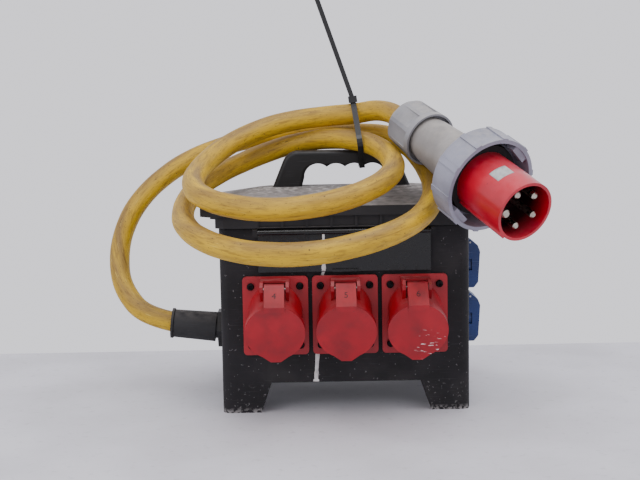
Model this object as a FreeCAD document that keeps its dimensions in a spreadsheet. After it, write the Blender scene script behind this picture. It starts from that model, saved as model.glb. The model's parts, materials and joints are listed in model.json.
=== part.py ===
import FreeCAD, Part
import math
import os
import re
import Sketcher as Sketch
from FreeCAD import Placement, Rotation, Vector

# Portable power distribution box: a moulded body on four feet, a roof hood with a carrying handle,
# three sloped five-pole outlets in front, two domestic outlets on the right side, breakers behind
# a hinged window, and a supply cable that is coiled on the handle and ends in a 63 A plug.
# Millimetres. X is to the right, Y to the back, Z up; the origin is on the floor under the middle.

SIZES = {
    # body
    "body_width": 306, "body_depth": 230, "underside": 37.5, "body_top": 228.5, "wall": 5,
    "corner_radius": 10, "foot_top": 61, "foot_bottom": 48, "foot_depth": 56, "boss_size": 16,
    # hood
    "seal_thick": 1.5, "hood_width": 350, "hood_depth": 246, "hood_skirt": 26, "roof_rise": 16,
    "skirt_width": 314, "skirt_depth": 240, "eave_high": 11.5, "eave_step": 3, "step_out": 6,
    "ridge_length": 210, "ridge_depth": 44, "hood_corner": 12, "roof_thick": 7,
    "recess_count": 7, "recess_pitch": 30, "recess_width": 27, "recess_high": 13.5,
    "recess_deep": 3,
    # handle
    "handle_length": 178, "handle_top": 140, "handle_high": 46, "handle_thick": 21,
    "handle_depth": 30, "handle_leg": 38, "handle_shoulder": 22, "finger_pitch": 23.5, "finger_deep": 4.5,
    # window over the breakers
    "window_width": 202, "window_high": 40, "window_middle": 200, "flap_thick": 4,
    "flap_margin": 4, "flap_gap": 2, "flap_pin": 3, "ear_thick": 6,
    # sloped outlets
    "outlet_pitch": 85, "outlet_middle": 122.5, "flange_width": 80, "flange_high": 97,
    "flange_thick": 5, "gasket_thick": 1, "flange_screws_x": 60, "flange_screws_z": 73,
    "collar_outer": 66, "collar_wall": 4, "collar_length": 50, "tilt": 20, "collar_up": 6, "lid_outer": 72,
    "lid_thick": 5, "insert_outer": 45, "hinge_out": 38, "hinge_up": 38, "arm_width": 24,
    "lug_thick": 4, "lid_pin": 3,
    # domestic outlets
    "side_pitch": 69.5, "side_middle": 138, "side_back": -25, "side_width": 54, "side_high": 66,
    "side_flange": 3, "well_outer": 42.8, "well_inner": 39.5, "well_deep": 17.5, "rim_out": 11,
    "side_lid_width": 46, "side_lid_out": 22, "side_pin": 2.5,
    # screws
    "screw_shank": 4, "screw_head": 9, "screw_long": 16, "big_shank": 5, "big_head": 9.5,
    "screw_gap": 0.4,
    # breakers
    "module": 18, "rail_width": 35, "nose_high": 45, "device_high": 85, "nose_deep": 24,
    "device_deep": 68, "lever_out": 6, "lever_root": 5,
    # cable entry
    "cable": 27, "entry_up": 86, "entry_tilt": 6, "entry_hex": 46, "entry_out": 12,
    "sleeve_length": 62, "sleeve_root": 39, "sleeve_tip": 36.5, "spigot": 30, "spigot_long": 26,
    "entry_run": 66,
    # plug
    "nut_back": 22, "nut_front": 72, "nut_outer": 67, "plug_neck": 55, "plug_wide": 66,
    "plug_collar": 88, "ring_back": 163, "ring_front": 200, "ring_outer": 114, "ring_wall": 4.5,
    "seat": 178, "shroud_outer": 71, "shroud_wall": 3.5, "shroud_end": 265.5, "pin_face": 214,
    "pin_end": 260, "pin_circle": 41, "pin_size": 8, "earth_size": 10,
    # fits
    "slide_gap": 0.3, "pin_gap": 0.08, "tie_width": 7, "tie_thick": 1.4,
    # the front outlets reach further than the back, so the body stands behind the origin
    "depth_shift": 30,
}

doc = FreeCAD.newDocument("distribution_box")
sheet = doc.addObject("Spreadsheet::Sheet", "sizes")
for row, (alias, number) in enumerate(SIZES.items(), start=1):
    sheet.set(f"A{row}", alias)
    sheet.set(f"B{row}", str(number))
    sheet.setAlias(f"B{row}", alias)
doc.recompute()

NODES = []


def size(alias):
    """The number that the sheet holds under this name."""
    return float(sheet.get(alias))


def bind(thing, prop, text):
    """Ties a property to an expression in which bare names are cells of the sheet."""
    named = re.sub(r"[a-z]\w*", lambda m: "sizes." + m[0] if m[0] in SIZES else m[0], str(text))
    thing.setExpression(prop, named)


def node(thing, label):
    """Registers a finished sub-part under the name of its file, moved back by the shift."""
    thing.Label = label
    bound = dict(thing.ExpressionEngine).get(".Placement.Base.y", str(thing.Placement.Base.y))
    bind(thing, "Placement.Base.y", f"({bound.replace('sizes.', '')}) + depth_shift")
    NODES.append(thing)
    return thing


def place(thing, x=0, y=0, z=0, turn=None):
    """Puts a sub-part at a position given as expressions, turned first."""
    thing.Placement = Placement(Vector(0, 0, 0), turn or Rotation())
    for axis, text in zip("xyz", (x, y, z)):
        bind(thing, f"Placement.Base.{axis}", text)
    return thing


def body(name):
    return doc.addObject("PartDesign::Body", name)


def plane(owner, role):
    return next(f for f in owner.Origin.OriginFeatures if f.Role == role)


def new_sketch(owner, name, role, lift=0, sloped=False):
    """A sketch on one of its body's own planes, lifted along the plane's normal.

    A sloped sketch lies square to the outlet's axis, which starts above the origin and points
    down by the tilt."""
    made = owner.newObject("Sketcher::SketchObject", name)
    made.AttachmentSupport = [(plane(owner, role), "")]
    made.MapMode = "FlatFace"
    if sloped:
        made.AttachmentOffset = Placement(Vector(0, 0, 0), Rotation(Vector(1, 0, 0), size("tilt")))
        bind(made, "AttachmentOffset.Rotation.Angle", "tilt")
        bind(made, "AttachmentOffset.Base.y", f"collar_up - ({lift}) * sin(tilt * 1 deg)")
        bind(made, "AttachmentOffset.Base.z", f"({lift}) * cos(tilt * 1 deg)")
    else:
        bind(made, "AttachmentOffset.Base.z", lift)
    return made


def fix_point(made, geo, spot, point, start):
    """Holds one point of a sketch at two expressions, measured from the sketch's origin."""
    for kind, text, now in zip(("DistanceX", "DistanceY"), point, start):
        index = made.addConstraint(Sketch.Constraint(kind, -1, 1, geo, spot, now))
        bind(made, f"Constraints[{index}]", text)




def outline(owner, name, role, points, lift=0, sloped=False):
    """A closed outline through points given as pairs of expressions."""
    made = new_sketch(owner, name, role, lift, sloped)
    count = len(points)
    start = [(10 + 5 * math.cos(6.283 * i / count), 10 + 5 * math.sin(6.283 * i / count))
             for i in range(count)]
    for i in range(count):
        one, two = start[i], start[(i + 1) % count]
        made.addGeometry(Part.LineSegment(Vector(*one, 0), Vector(*two, 0)))
    for i in range(count):
        made.addConstraint(Sketch.Constraint("Coincident", i, 2, (i + 1) % count, 1))
    for i, point in enumerate(points):
        fix_point(made, i, 1, point, start[i])
    return made


def rectangle(owner, name, role, wide, high, at=(0, 0), lift=0):
    """A rectangle of two sizes around a middle point."""
    x, y = at
    corners = [(f"{x} + {i} * ({wide}) / 2", f"{y} + {j} * ({high}) / 2")
               for i, j in ((-1, -1), (1, -1), (1, 1), (-1, 1))]
    return outline(owner, name, role, corners, lift)


def cut_rectangle(owner, name, role, wide, high, cut, lift=0):
    """A rectangle around the origin with its four corners cut at 45 degrees."""
    points = []
    for i, j, first in ((-1, -1, 0), (1, -1, 1), (1, 1, 0), (-1, 1, 1)):
        along = (f"{i} * (({wide}) / 2 - {cut})", f"{j} * ({high}) / 2")
        across = (f"{i} * ({wide}) / 2", f"{j} * (({high}) / 2 - {cut})")
        points += [along, across] if first else [across, along]
    return outline(owner, name, role, points, lift)


def circles(owner, name, role, centres, across, lift=0, sloped=False):
    """One circle of the same diameter at each centre."""
    made = new_sketch(owner, name, role, lift, sloped)
    for i, centre in enumerate(centres):
        start = (10.0 + 3 * i, 10.0)
        made.addGeometry(Part.Circle(Vector(*start, 0), Vector(0, 0, 1), 1))
        fix_point(made, i, 3, centre, start)
        index = made.addConstraint(Sketch.Constraint("Diameter", i, 2.0))
        bind(made, f"Constraints[{index}]", across)
    return made


def feature(owner, kind, name, profile, length, back=False, both=False):
    """A pad or pocket of a sketch; a pad goes along the plane's normal and a pocket against it."""
    made = owner.newObject("PartDesign::" + kind, name)
    made.Profile = profile
    if both:
        made.SideType = "Symmetric"
    made.Reversed = back
    bind(made, "Length", length)
    return made


def turned(owner, kind, name, profile, axis="Z_Axis"):
    """A full revolution or groove of a sketch about one of its body's axes."""
    made = owner.newObject("PartDesign::" + kind, name)
    made.Profile = profile
    made.ReferenceAxis = (plane(owner, axis), [""])
    made.Angle = 360
    return made


def polar(owner, name, original, count, axis="Z_Axis"):
    made = owner.newObject("PartDesign::PolarPattern", name)
    made.Originals = [original]
    made.Axis = (plane(owner, axis), [""])
    made.Angle = 360
    made.Occurrences = count
    owner.Tip = made
    return made


def mirrored(owner, name, original, role):
    made = owner.newObject("PartDesign::Mirrored", name)
    made.Originals = [original]
    made.MirrorPlane = (plane(owner, role), [""])
    owner.Tip = made
    return made


def rounded(owner, name, base, radius, test):
    """A fillet on the edges of a feature that pass a test."""
    doc.recompute()
    names = [f"Edge{i}" for i, e in enumerate(base.Shape.Edges, start=1) if test(e)]
    made = owner.newObject("PartDesign::Fillet", name)
    made.Base = (base, names)
    bind(made, "Radius", radius)
    return made


def runs_along(edge, axis):
    """Whether an edge is straight and parallel to an axis."""
    if edge.Curve.TypeId != "Part::GeomLine":
        return False
    return abs(abs(edge.tangentAt(edge.FirstParameter).dot(axis)) - 1) < 1e-6


def shaped(label, shape, placement=None):
    """A sub-part whose solid is made by code, put in place afterwards."""
    made = doc.addObject("Part::Feature", label)
    made.Shape = shape
    made.Placement = placement or Placement()
    return node(made, label)


def group(label, solids, placement=None):
    """Several identical separate solids in one node."""
    return shaped(label, Part.Compound(solids), placement)


def spin_solid(profile):
    """A solid of revolution about Z from (radius, height) corners."""
    wire = Part.makePolygon([Vector(r, 0, z) for r, z in profile + profile[:1]])
    return Part.Face(wire).revolve(Vector(0, 0, 0), Vector(0, 0, 1), 360)


def screw(shank, head, long):
    """A screw whose head sits above z = 0, with a hexagon socket, and whose shank goes below."""
    high = 0.55 * head
    solid = spin_solid([(0, -long), (shank / 2, -long), (shank / 2, 0), (head / 2, 0),
                        (head / 2, 0.6 * high), (0.36 * head, high), (0, high)])
    across = 0.5 * head / math.sqrt(3)
    corners = [Vector(across * math.cos(k * math.pi / 3), across * math.sin(k * math.pi / 3), high)
               for k in range(7)]
    socket = Part.Face(Part.makePolygon(corners)).extrude(Vector(0, 0, -0.6 * high))
    return solid.cut(socket)


def moved(shape, x, y, z, turn=None):
    copy = shape.copy()
    copy.Placement = Placement(Vector(x, y, z), turn or Rotation())
    return copy


def smooth_path(points):
    """Straight runs joined by tangent arcs, each as large as its two runs allow."""
    points = [Vector(*p) for p in points]
    edges = []
    radii = []
    start = points[0]
    for before, corner, after in zip(points, points[1:], points[2:]):
        back = (before - corner).normalize()
        ahead = (after - corner).normalize()
        half = (math.pi - back.getAngle(ahead)) / 2
        reach = 0.45 * min((before - corner).Length, (after - corner).Length)
        radius = reach / math.tan(half)
        first = corner + back * reach
        last = corner + ahead * reach
        inward = (back + ahead).normalize()
        middle = corner + inward * (radius / math.cos(half) - radius)
        edges.append(Part.LineSegment(start, first).toShape())
        edges.append(Part.Arc(first, middle, last).toShape())
        radii.append(radius)
        start = last
    edges.append(Part.LineSegment(start, points[-1]).toShape())
    return Part.Wire(edges), radii


def tube(points, across):
    """A round bar along a smooth path."""
    wire, radii = smooth_path(points)
    start = wire.Edges[0]
    heading = start.tangentAt(start.FirstParameter)
    ring = Part.Wire(Part.makeCircle(across / 2, Vector(*points[0]), heading))
    solid = wire.makePipeShell([ring], True, False)
    return solid, wire.Length, radii


X, Y, Z = Vector(1, 0, 0), Vector(0, 1, 0), Vector(0, 0, 1)


# ---- body -------------------------------------------------------------------------------------

def outlet_places():
    return [("%d * outlet_pitch" % i) for i in (-1, 0, 1)]


BOSS_NEAR = "body_width / 2 - wall - boss_size / 2 + 1"
BOSS_DEEP = "body_depth / 2 - wall - boss_size / 2 + 1"


def boss_spots():
    """The middles of the four corner bosses that take the hood's screws."""
    return [(f"{i} * ({BOSS_NEAR})", f"{j} * ({BOSS_DEEP})") for i in (-1, 1) for j in (-1, 1)]


def make_body_shell():
    """Open-topped moulded body on four tapered feet, with cut-outs for everything it carries."""
    shell = body("body_shell")
    base = rectangle(shell, "body_plan", "XY_Plane", "body_width", "body_depth", lift="underside")
    block = feature(shell, "Pad", "body_block", base, "body_top - underside")
    for side in (-1, 1):
        edge = f"{side} * body_width / 2"
        foot = outline(shell, f"foot_side_{side + 1}", "XZ_Plane",
                       [(edge, "0"), (edge, "underside"),
                        (f"{side} * (body_width / 2 - foot_top)", "underside"),
                        (f"{side} * (body_width / 2 - foot_bottom)", "0")], "body_depth / 2")
        front = feature(shell, "Pad", f"front_foot_{side + 1}", foot, "foot_depth", back=True)
        last = mirrored(shell, f"rear_foot_{side + 1}", front, "XZ_Plane")
    outside = rounded(shell, "corners", last, "corner_radius",
                      lambda e: runs_along(e, Z) and e.Length > 100)
    hollow = rectangle(shell, "hollow_plan", "XY_Plane", "body_width - 2 * wall",
                       "body_depth - 2 * wall", lift="body_top")
    feature(shell, "Pocket", "hollow", hollow, "body_top - underside - wall")
    for number, spot in enumerate(boss_spots()):
        plan = rectangle(shell, f"boss_plan_{number}", "XY_Plane", "boss_size", "boss_size", spot,
                         "underside + wall - 1")
        feature(shell, "Pad", f"boss_{number}", plan, "body_top - underside - wall + 1")
    bores = circles(shell, "boss_bores", "XY_Plane", boss_spots(), "big_shank + screw_gap", "body_top")
    feature(shell, "Pocket", "boss_holes", bores, "30")

    face = "body_depth / 2"
    spots = [(x, "outlet_middle + collar_up") for x in outlet_places()]
    mouths = circles(shell, "outlet_plan", "XZ_Plane", spots, "collar_outer", face)
    feature(shell, "Pocket", "outlet_holes", mouths, "wall + 1")
    holes = [(f"{x} + {i} * flange_screws_x / 2", f"outlet_middle + {j} * flange_screws_z / 2")
             for x in outlet_places() for i in (-1, 1) for j in (-1, 1)]
    pilot = circles(shell, "flange_pilots", "XZ_Plane", holes, "screw_shank + screw_gap", face)
    feature(shell, "Pocket", "flange_holes", pilot, "wall + 1")
    glass = rectangle(shell, "window_plan", "XZ_Plane", "window_width", "window_high",
                      ("0", "window_middle"), face)
    feature(shell, "Pocket", "window_hole", glass, "wall + 1")
    for side in (-1, 1):
        ear = rectangle(shell, f"ear_plan_{side + 1}", "XZ_Plane", "ear_thick", "9",
                        (f"{side} * (window_width / 2 + flap_margin + ear_thick / 2 + slide_gap)",
                         "body_top - 4.5"), face)
        feature(shell, "Pad", f"flap_ear_{side + 1}", ear, "flap_gap + flap_thick + 1.5")
    pivot = circles(shell, "ear_bore", "YZ_Plane", [(FLAP_AXIS[0], FLAP_AXIS[1])],
                    "flap_pin + pin_gap", "window_width / 2 + flap_margin + ear_thick + 2")
    feature(shell, "Pocket", "ear_holes", pivot, "window_width + 2 * flap_margin + 2 * ear_thick + 4")

    sides = [("side_back", f"side_middle + {j} * side_pitch / 2 - 2") for j in (-1, 1)]
    wells = circles(shell, "well_plan", "YZ_Plane", sides, "well_outer + 1", "body_width / 2")
    feature(shell, "Pocket", "well_holes", wells, "wall + 1")
    small = [(f"side_back + {i} * (side_width / 2 - 5)",
              f"side_middle + {j} * side_pitch / 2 + {k} * (side_high / 2 - 8)")
             for i in (-1, 1) for j in (-1, 1) for k in (-1, 1)]
    pilots = circles(shell, "side_pilots", "YZ_Plane", small, "screw_shank - 0.6", "body_width / 2")
    feature(shell, "Pocket", "side_holes", pilots, "wall + 1")
    entry = circles(shell, "entry_plan", "YZ_Plane", [("0", "entry_up")], "32.6", "-body_width / 2")
    feature(shell, "Pocket", "entry_hole", entry, "wall + 1", back=True)
    return node(shell, "body_shell")


FLAP_AXIS = ("-body_depth / 2 - flap_gap - flap_thick / 2", "body_top - 4")


def make_hood():
    """Roof over the body: a lower skirt, stepped overhanging eaves, four slopes and a flat ridge."""
    hood = body("hood")
    low = "body_top + seal_thick"
    top = "body_top + seal_thick + hood_skirt"
    plan = cut_rectangle(hood, "skirt_plan", "XY_Plane", "skirt_width", "skirt_depth", "corner_radius", low)
    feature(hood, "Pad", "skirt", plan, "hood_skirt")
    step = cut_rectangle(hood, "step_plan", "XY_Plane", "skirt_width + 2 * step_out", "skirt_depth",
                         "corner_radius", top + " - eave_high - eave_step")
    feature(hood, "Pad", "eave_step", step, "eave_high + eave_step")
    eave = cut_rectangle(hood, "eave_plan", "XY_Plane", "hood_width", "hood_depth", "hood_corner",
                         top + " - eave_high")
    feature(hood, "Pad", "eaves", eave, "eave_high")
    lower = cut_rectangle(hood, "roof_foot", "XY_Plane", "hood_width", "hood_depth", "hood_corner", top)
    upper = cut_rectangle(hood, "ridge", "XY_Plane", "ridge_length", "ridge_depth", "hood_corner",
                          top + " + roof_rise")
    roof = hood.newObject("PartDesign::AdditiveLoft", "roof")
    roof.Profile = lower
    roof.Sections = [upper]
    roof.Ruled = True
    room = cut_rectangle(hood, "room_plan", "XY_Plane", "body_width - 2 * wall",
                         "body_depth - 2 * wall", "26", low)
    feature(hood, "Pocket", "room", room, "hood_skirt - wall", back=True)
    upper_room = rectangle(hood, "upper_room_plan", "XY_Plane", "ridge_length - 20", "ridge_depth + 30",
                           lift=low)
    feature(hood, "Pocket", "upper_room", upper_room, "hood_skirt + roof_rise - roof_thick", back=True)
    first = "-(recess_count - 1) / 2 * recess_pitch"
    recess = rectangle(hood, "recess_plan", "XZ_Plane", "recess_width", "recess_high",
                       (first, low + " + 1 + recess_high / 2"), "skirt_depth / 2")
    pocket = feature(hood, "Pocket", "recess", recess, "recess_deep")
    row = hood.newObject("PartDesign::LinearPattern", "recess_row")
    row.Originals = [pocket]
    row.Direction = (plane(hood, "X_Axis"), [""])
    bind(row, "Length", "(recess_count - 1) * recess_pitch")
    bind(row, "Occurrences", "recess_count")
    hood.Tip = row
    spots = boss_spots()
    bores = circles(hood, "screw_bores", "XY_Plane", spots, "big_shank + screw_gap", top + " + roof_rise")
    feature(hood, "Pocket", "screw_holes", bores, "hood_skirt + roof_rise + 1")
    heads = circles(hood, "head_bores", "XY_Plane", spots, "big_head + 1", top + " + roof_rise")
    feature(hood, "Pocket", "head_holes", heads, "roof_rise + 12")
    legs = circles(hood, "handle_bores", "XY_Plane", handle_screw_spots(), "big_shank + screw_gap",
                   top + " + roof_rise")
    feature(hood, "Pocket", "handle_holes", legs, "roof_thick + 1")
    return node(hood, "hood")


def handle_screw_spots():
    """Two screws under each leg of the handle."""
    return [(f"{i} * (handle_length - handle_leg) / 2", f"{j} * handle_depth / 5")
            for i in (-1, 1) for j in (-1, 1)]


def make_hood_seal():
    """Flat rubber seal on the rim of the body."""
    seal = body("hood_seal")
    outer = rectangle(seal, "outer", "XY_Plane", "body_width - 2", "body_depth - 2", lift="body_top")
    feature(seal, "Pad", "sheet", outer, "seal_thick")
    inner = cut_rectangle(seal, "inner", "XY_Plane", "body_width - 2 * wall", "body_depth - 2 * wall",
                          "boss_size + 8", "body_top + seal_thick")
    feature(seal, "Pocket", "opening", inner, "seal_thick + 1")
    spots = boss_spots()
    bores = circles(seal, "bores", "XY_Plane", spots, "big_shank + screw_gap", "body_top + seal_thick")
    feature(seal, "Pocket", "screw_holes", bores, "seal_thick + 1")
    return node(seal, "hood_seal")


def make_handle():
    """Bridge handle with slanted legs and finger grooves under its bar."""
    handle = body("handle")
    half = "handle_length / 2"
    points = [(f"-{half}", "0"), ("-handle_top / 2", "handle_high"), ("handle_top / 2", "handle_high"),
              (half, "0"), (f"{half} - handle_leg", "0"),
              (f"{half} - handle_leg - 7", "handle_high - handle_thick"),
              (f"-({half} - handle_leg - 7)", "handle_high - handle_thick"),
              (f"-({half} - handle_leg)", "0")]
    side = outline(handle, "handle_side", "XZ_Plane", points)
    arch = feature(handle, "Pad", "arch", side, "handle_depth", both=True)
    shoulders = rounded(handle, "shoulders", arch, "handle_shoulder",
                        lambda e: runs_along(e, Y) and e.CenterOfMass.z > 0.9 * size("handle_high"))
    bends = rounded(handle, "bends", shoulders, "11",
                    lambda e: runs_along(e, Y) and 0.3 < e.CenterOfMass.z / size("handle_high") < 0.6)
    grip = rounded(handle, "grip_edges", bends, "5",
                   lambda e: not runs_along(e, Y) and e.BoundBox.ZMax > 0.4 * size("handle_high")
                   and e.BoundBox.YLength < 0.01)
    under = "handle_high - handle_thick + finger_deep - 0.75 * finger_pitch"
    groove = circles(handle, "finger_plan", "XZ_Plane", [("-1.5 * finger_pitch + 5", under)],
                     "1.5 * finger_pitch", "-handle_depth / 2 - 1")
    finger = feature(handle, "Pocket", "finger", groove, "handle_depth + 2", back=True)
    row = handle.newObject("PartDesign::LinearPattern", "fingers")
    row.Originals = [finger]
    row.Direction = (plane(handle, "X_Axis"), [""])
    bind(row, "Length", "3 * finger_pitch")
    row.Occurrences = 4
    handle.Tip = row
    bores = circles(handle, "leg_bores", "XY_Plane", handle_screw_spots(), "big_shank + screw_gap", "0")
    feature(handle, "Pocket", "leg_holes", bores, "14", back=True)
    place(handle, z="body_top + seal_thick + hood_skirt + roof_rise")
    return node(handle, "handle")


def make_body_screws():
    """Hood screws in the four bosses, and handle screws that come up from inside the hood."""
    big = screw(size("big_shank"), size("big_head"), size("hood_skirt") + 12)
    near = size("body_width") / 2 - size("wall") - size("boss_size") / 2 + 1
    deep = size("body_depth") / 2 - size("wall") - size("boss_size") / 2 + 1
    seat = size("body_top") + size("seal_thick") + size("hood_skirt") - 12
    group("hood_screws", [moved(big, i * near, j * deep, seat) for i in (-1, 1) for j in (-1, 1)])
    skirt_top = size("body_top") + size("seal_thick") + size("hood_skirt")
    under = skirt_top + size("roof_rise") - size("roof_thick")
    leg = (size("handle_length") - size("handle_leg")) / 2
    short = screw(size("big_shank"), size("big_head"), size("roof_thick") + 12)
    flip = Rotation(X, 180)
    group("handle_screws", [moved(short, i * leg, j * size("handle_depth") / 5, under, flip)
                            for i in (-1, 1) for j in (-1, 1)])


def make_window():
    """Smoked flap over the breakers, its pin, and the seal that it closes on."""
    flap = body("window_flap")
    wide = "window_width + 2 * flap_margin"
    high = "window_high + flap_margin"
    plate = rectangle(flap, "plate_plan", "XZ_Plane", wide, f"{high}",
                      ("0", "window_middle - flap_margin / 2"), "body_depth / 2 + flap_gap")
    feature(flap, "Pad", "plate", plate, "flap_thick")
    barrel = circles(flap, "barrel_plan", "YZ_Plane", [FLAP_AXIS], "2 * flap_gap + flap_thick - 1",
                     f"-({wide}) / 2")
    feature(flap, "Pad", "barrel", barrel, wide)
    web = rectangle(flap, "web_plan", "XZ_Plane", wide, "body_top - 4 - window_middle - window_high / 2 + 1",
                    ("0", "(body_top - 4 + window_middle + window_high / 2) / 2"),
                    "body_depth / 2 + flap_gap")
    feature(flap, "Pad", "web", web, "flap_thick")
    tab = rectangle(flap, "tab_plan", "XZ_Plane", "30", "3",
                    ("0", "window_middle - window_high / 2 - flap_margin + 1.5"),
                    "body_depth / 2 + flap_gap + flap_thick - 1")
    feature(flap, "Pad", "finger_tab", tab, "5")
    bore = circles(flap, "flap_bore", "YZ_Plane", [FLAP_AXIS], "flap_pin + 2 * pin_gap", f"({wide}) / 2 + 1")
    feature(flap, "Pocket", "flap_hole", bore, f"{wide} + 2")
    node(flap, "window_flap")

    pin = doc.addObject("Part::Cylinder", "flap_pin")
    pin.Placement = Placement(Vector(0, 0, 0), Rotation(Y, 90))
    bind(pin, "Radius", "flap_pin / 2")
    bind(pin, "Height", "window_width + 2 * flap_margin + 2 * ear_thick")
    bind(pin, "Placement.Base.x", "-(window_width / 2 + flap_margin + ear_thick)")
    bind(pin, "Placement.Base.y", FLAP_AXIS[0])
    bind(pin, "Placement.Base.z", FLAP_AXIS[1])
    node(pin, "window_hinge_pin")

    seal = body("window_seal")
    outer = rectangle(seal, "outer", "XZ_Plane", "window_width + 6", "window_high + 5",
                      ("0", "window_middle - 0.5"), "body_depth / 2")
    feature(seal, "Pad", "frame", outer, "flap_gap - 0.5")
    inner = rectangle(seal, "inner", "XZ_Plane", "window_width", "window_high",
                      ("0", "window_middle"), "body_depth / 2 + flap_gap")
    feature(seal, "Pocket", "opening", inner, "flap_gap + 1")
    node(seal, "window_seal")


# ---- sloped outlets ---------------------------------------------------------------------------

def outlet_frame(thing, index):
    return place(thing, f"{index - 2} * outlet_pitch", "-body_depth / 2 - gasket_thick", "outlet_middle")


def make_outlet_housing(index):
    """Square flange with a round collar that slopes down, and two lugs that carry the lid."""
    name = f"outlet_{index}_housing"
    housing = body(name)
    plan = rectangle(housing, "flange_plan", "XZ_Plane", "flange_width", "flange_high")
    flange = feature(housing, "Pad", "flange", plan, "flange_thick")
    rounded(housing, "flange_corners", flange, "5", lambda e: runs_along(e, Y))
    ring = circles(housing, "collar_plan", "XZ_Plane", [("0", "0")], "collar_outer", "-14", sloped=True)
    feature(housing, "Pad", "collar", ring, "collar_length + 14")
    for side in (-1, 1):
        at = f"{side} * (arm_width / 2 + 1.5 + lug_thick / 2) - lug_thick / 2"
        lug = outline(housing, f"lug_side_{side + 1}", "YZ_Plane",
                      [("-flange_thick + 1", "hinge_up + 8"), ("-hinge_out + 2", "hinge_up + 8"),
                       ("-hinge_out - 5", "hinge_up + 3"), ("-hinge_out - 5", "hinge_up - 3"),
                       ("-hinge_out + 2", "hinge_up - 16"), ("-flange_thick + 1", "hinge_up - 16")], at)
        feature(housing, "Pad", f"lug_{side + 1}", lug, "lug_thick")
    roof = rectangle(housing, "roof_plan", "XZ_Plane", "arm_width + 3 + 2 * lug_thick", "2.5",
                     ("0", "hinge_up + 8 - 1.25"), "flange_thick - 1")
    feature(housing, "Pad", "lug_roof", roof, "hinge_out - flange_thick - 11")
    bore = circles(housing, "collar_bore", "XZ_Plane", [("0", "0")], "collar_outer - 2 * collar_wall",
                   "collar_length + 1", sloped=True)
    feature(housing, "Pocket", "collar_hole", bore, "collar_length + 40")
    behind = rectangle(housing, "back_plan", "XZ_Plane", "collar_outer + 20", "2 * collar_outer")
    feature(housing, "Pocket", "flat_back", behind, "60")
    pin = circles(housing, "pin_plan", "YZ_Plane", [("-hinge_out", "hinge_up")], "lid_pin + pin_gap",
                  "arm_width")
    feature(housing, "Pocket", "pin_holes", pin, "2 * arm_width")
    holes = [(f"{i} * flange_screws_x / 2", f"{j} * flange_screws_z / 2") for i in (-1, 1) for j in (-1, 1)]
    screws = circles(housing, "screw_plan", "XZ_Plane", holes, "screw_shank + screw_gap", "flange_thick")
    feature(housing, "Pocket", "screw_holes", screws, "flange_thick + 1")
    outlet_frame(housing, index)
    return node(housing, name)


def make_outlet_insert(index):
    """Contact carrier inside the collar: a base disc and a round block with five sockets."""
    name = f"outlet_{index}_insert"
    insert = body(name)
    base = circles(insert, "base_plan", "XZ_Plane", [("0", "0")],
                   "collar_outer - 2 * collar_wall - 0.4", "11", sloped=True)
    feature(insert, "Pad", "base", base, "5")
    block = circles(insert, "block_plan", "XZ_Plane", [("0", "0")], "insert_outer", "15", sloped=True)
    feature(insert, "Pad", "block", block, "collar_length - 23")
    for k in range(5):
        angle = math.radians(72 * k - 90)
        spot = (f"{math.cos(angle):.4f} * insert_outer * 0.31",
                f"{math.sin(angle):.4f} * insert_outer * 0.31")
        across = "7.2" if k == 0 else "5.2"
        hole = circles(insert, f"socket_plan_{k}", "XZ_Plane", [spot], across,
                       "collar_length - 8", sloped=True)
        feature(insert, "Pocket", f"socket_{k}", hole, "24")
    outlet_frame(insert, index)
    return node(insert, name)


def make_outlet_lid(index):
    """Sprung round lid with a short skirt, a pull tab and a flat arm up to the hinge."""
    name = f"outlet_{index}_lid"
    lid = body(name)
    disc = circles(lid, "disc_plan", "XZ_Plane", [("0", "0")], "lid_outer", "collar_length - 4", sloped=True)
    feature(lid, "Pad", "disc", disc, "lid_thick + 4.4")
    tab = outline(lid, "tab_plan", "XZ_Plane",
                  [("-15", "-lid_outer / 2 + 3"), ("15", "-lid_outer / 2 + 3"), ("6", "-lid_outer / 2 - 4"),
                   ("-6", "-lid_outer / 2 - 4")], "collar_length + 0.4", sloped=True)
    feature(lid, "Pad", "tab", tab, "lid_thick")
    arm = outline(lid, "arm_side", "YZ_Plane",
                  [("-hinge_out", "hinge_up + 4.5"), ("-hinge_out - 7", "hinge_up + 7.5"),
                   ("-hinge_out - 10", "hinge_up + 6.5"), ("-hinge_out - 28.5", "hinge_up - 17.5"),
                   ("-hinge_out - 26", "hinge_up - 24.5"), ("-hinge_out - 22.5", "hinge_up - 21"),
                   ("-hinge_out - 20.5", "hinge_up - 13.5"), ("-hinge_out - 3", "hinge_up - 3.3")],
                  "-arm_width / 2")
    feature(lid, "Pad", "arm", arm, "arm_width")
    barrel = circles(lid, "barrel_plan", "YZ_Plane", [("-hinge_out", "hinge_up")], "9", "-arm_width / 2")
    feature(lid, "Pad", "barrel", barrel, "arm_width")
    inside = circles(lid, "skirt_plan", "XZ_Plane", [("0", "0")], "collar_outer + 1",
                     "collar_length + 0.4", sloped=True)
    feature(lid, "Pocket", "skirt", inside, "5")
    bore = circles(lid, "bore_plan", "YZ_Plane", [("-hinge_out", "hinge_up")], "lid_pin + 2 * pin_gap",
                   "arm_width")
    feature(lid, "Pocket", "bore", bore, "2 * arm_width")
    notch = circles(lid, "notch_plan", "YZ_Plane", [("-hinge_out", "hinge_up")], "12", "arm_width / 2 + 1")
    feature(lid, "Pocket", "spring_notch", notch, "9")
    outlet_frame(lid, index)
    return node(lid, name)


def torsion_spring(name, long, wire, inner, turns, x, y, z, turn):
    """Round-wire coil around a hinge pin, drawn as one helical sweep along its own Z."""
    radius = inner / 2 + wire / 2
    helix = Part.makeHelix(long / turns, long, radius)
    ring = Part.Wire(Part.makeCircle(wire / 2, Vector(radius, 0, 0), Vector(0, 1, 0)))
    return shaped(name, helix.makePipeShell([ring], True, True), Placement(Vector(x, y, z), turn))


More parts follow.
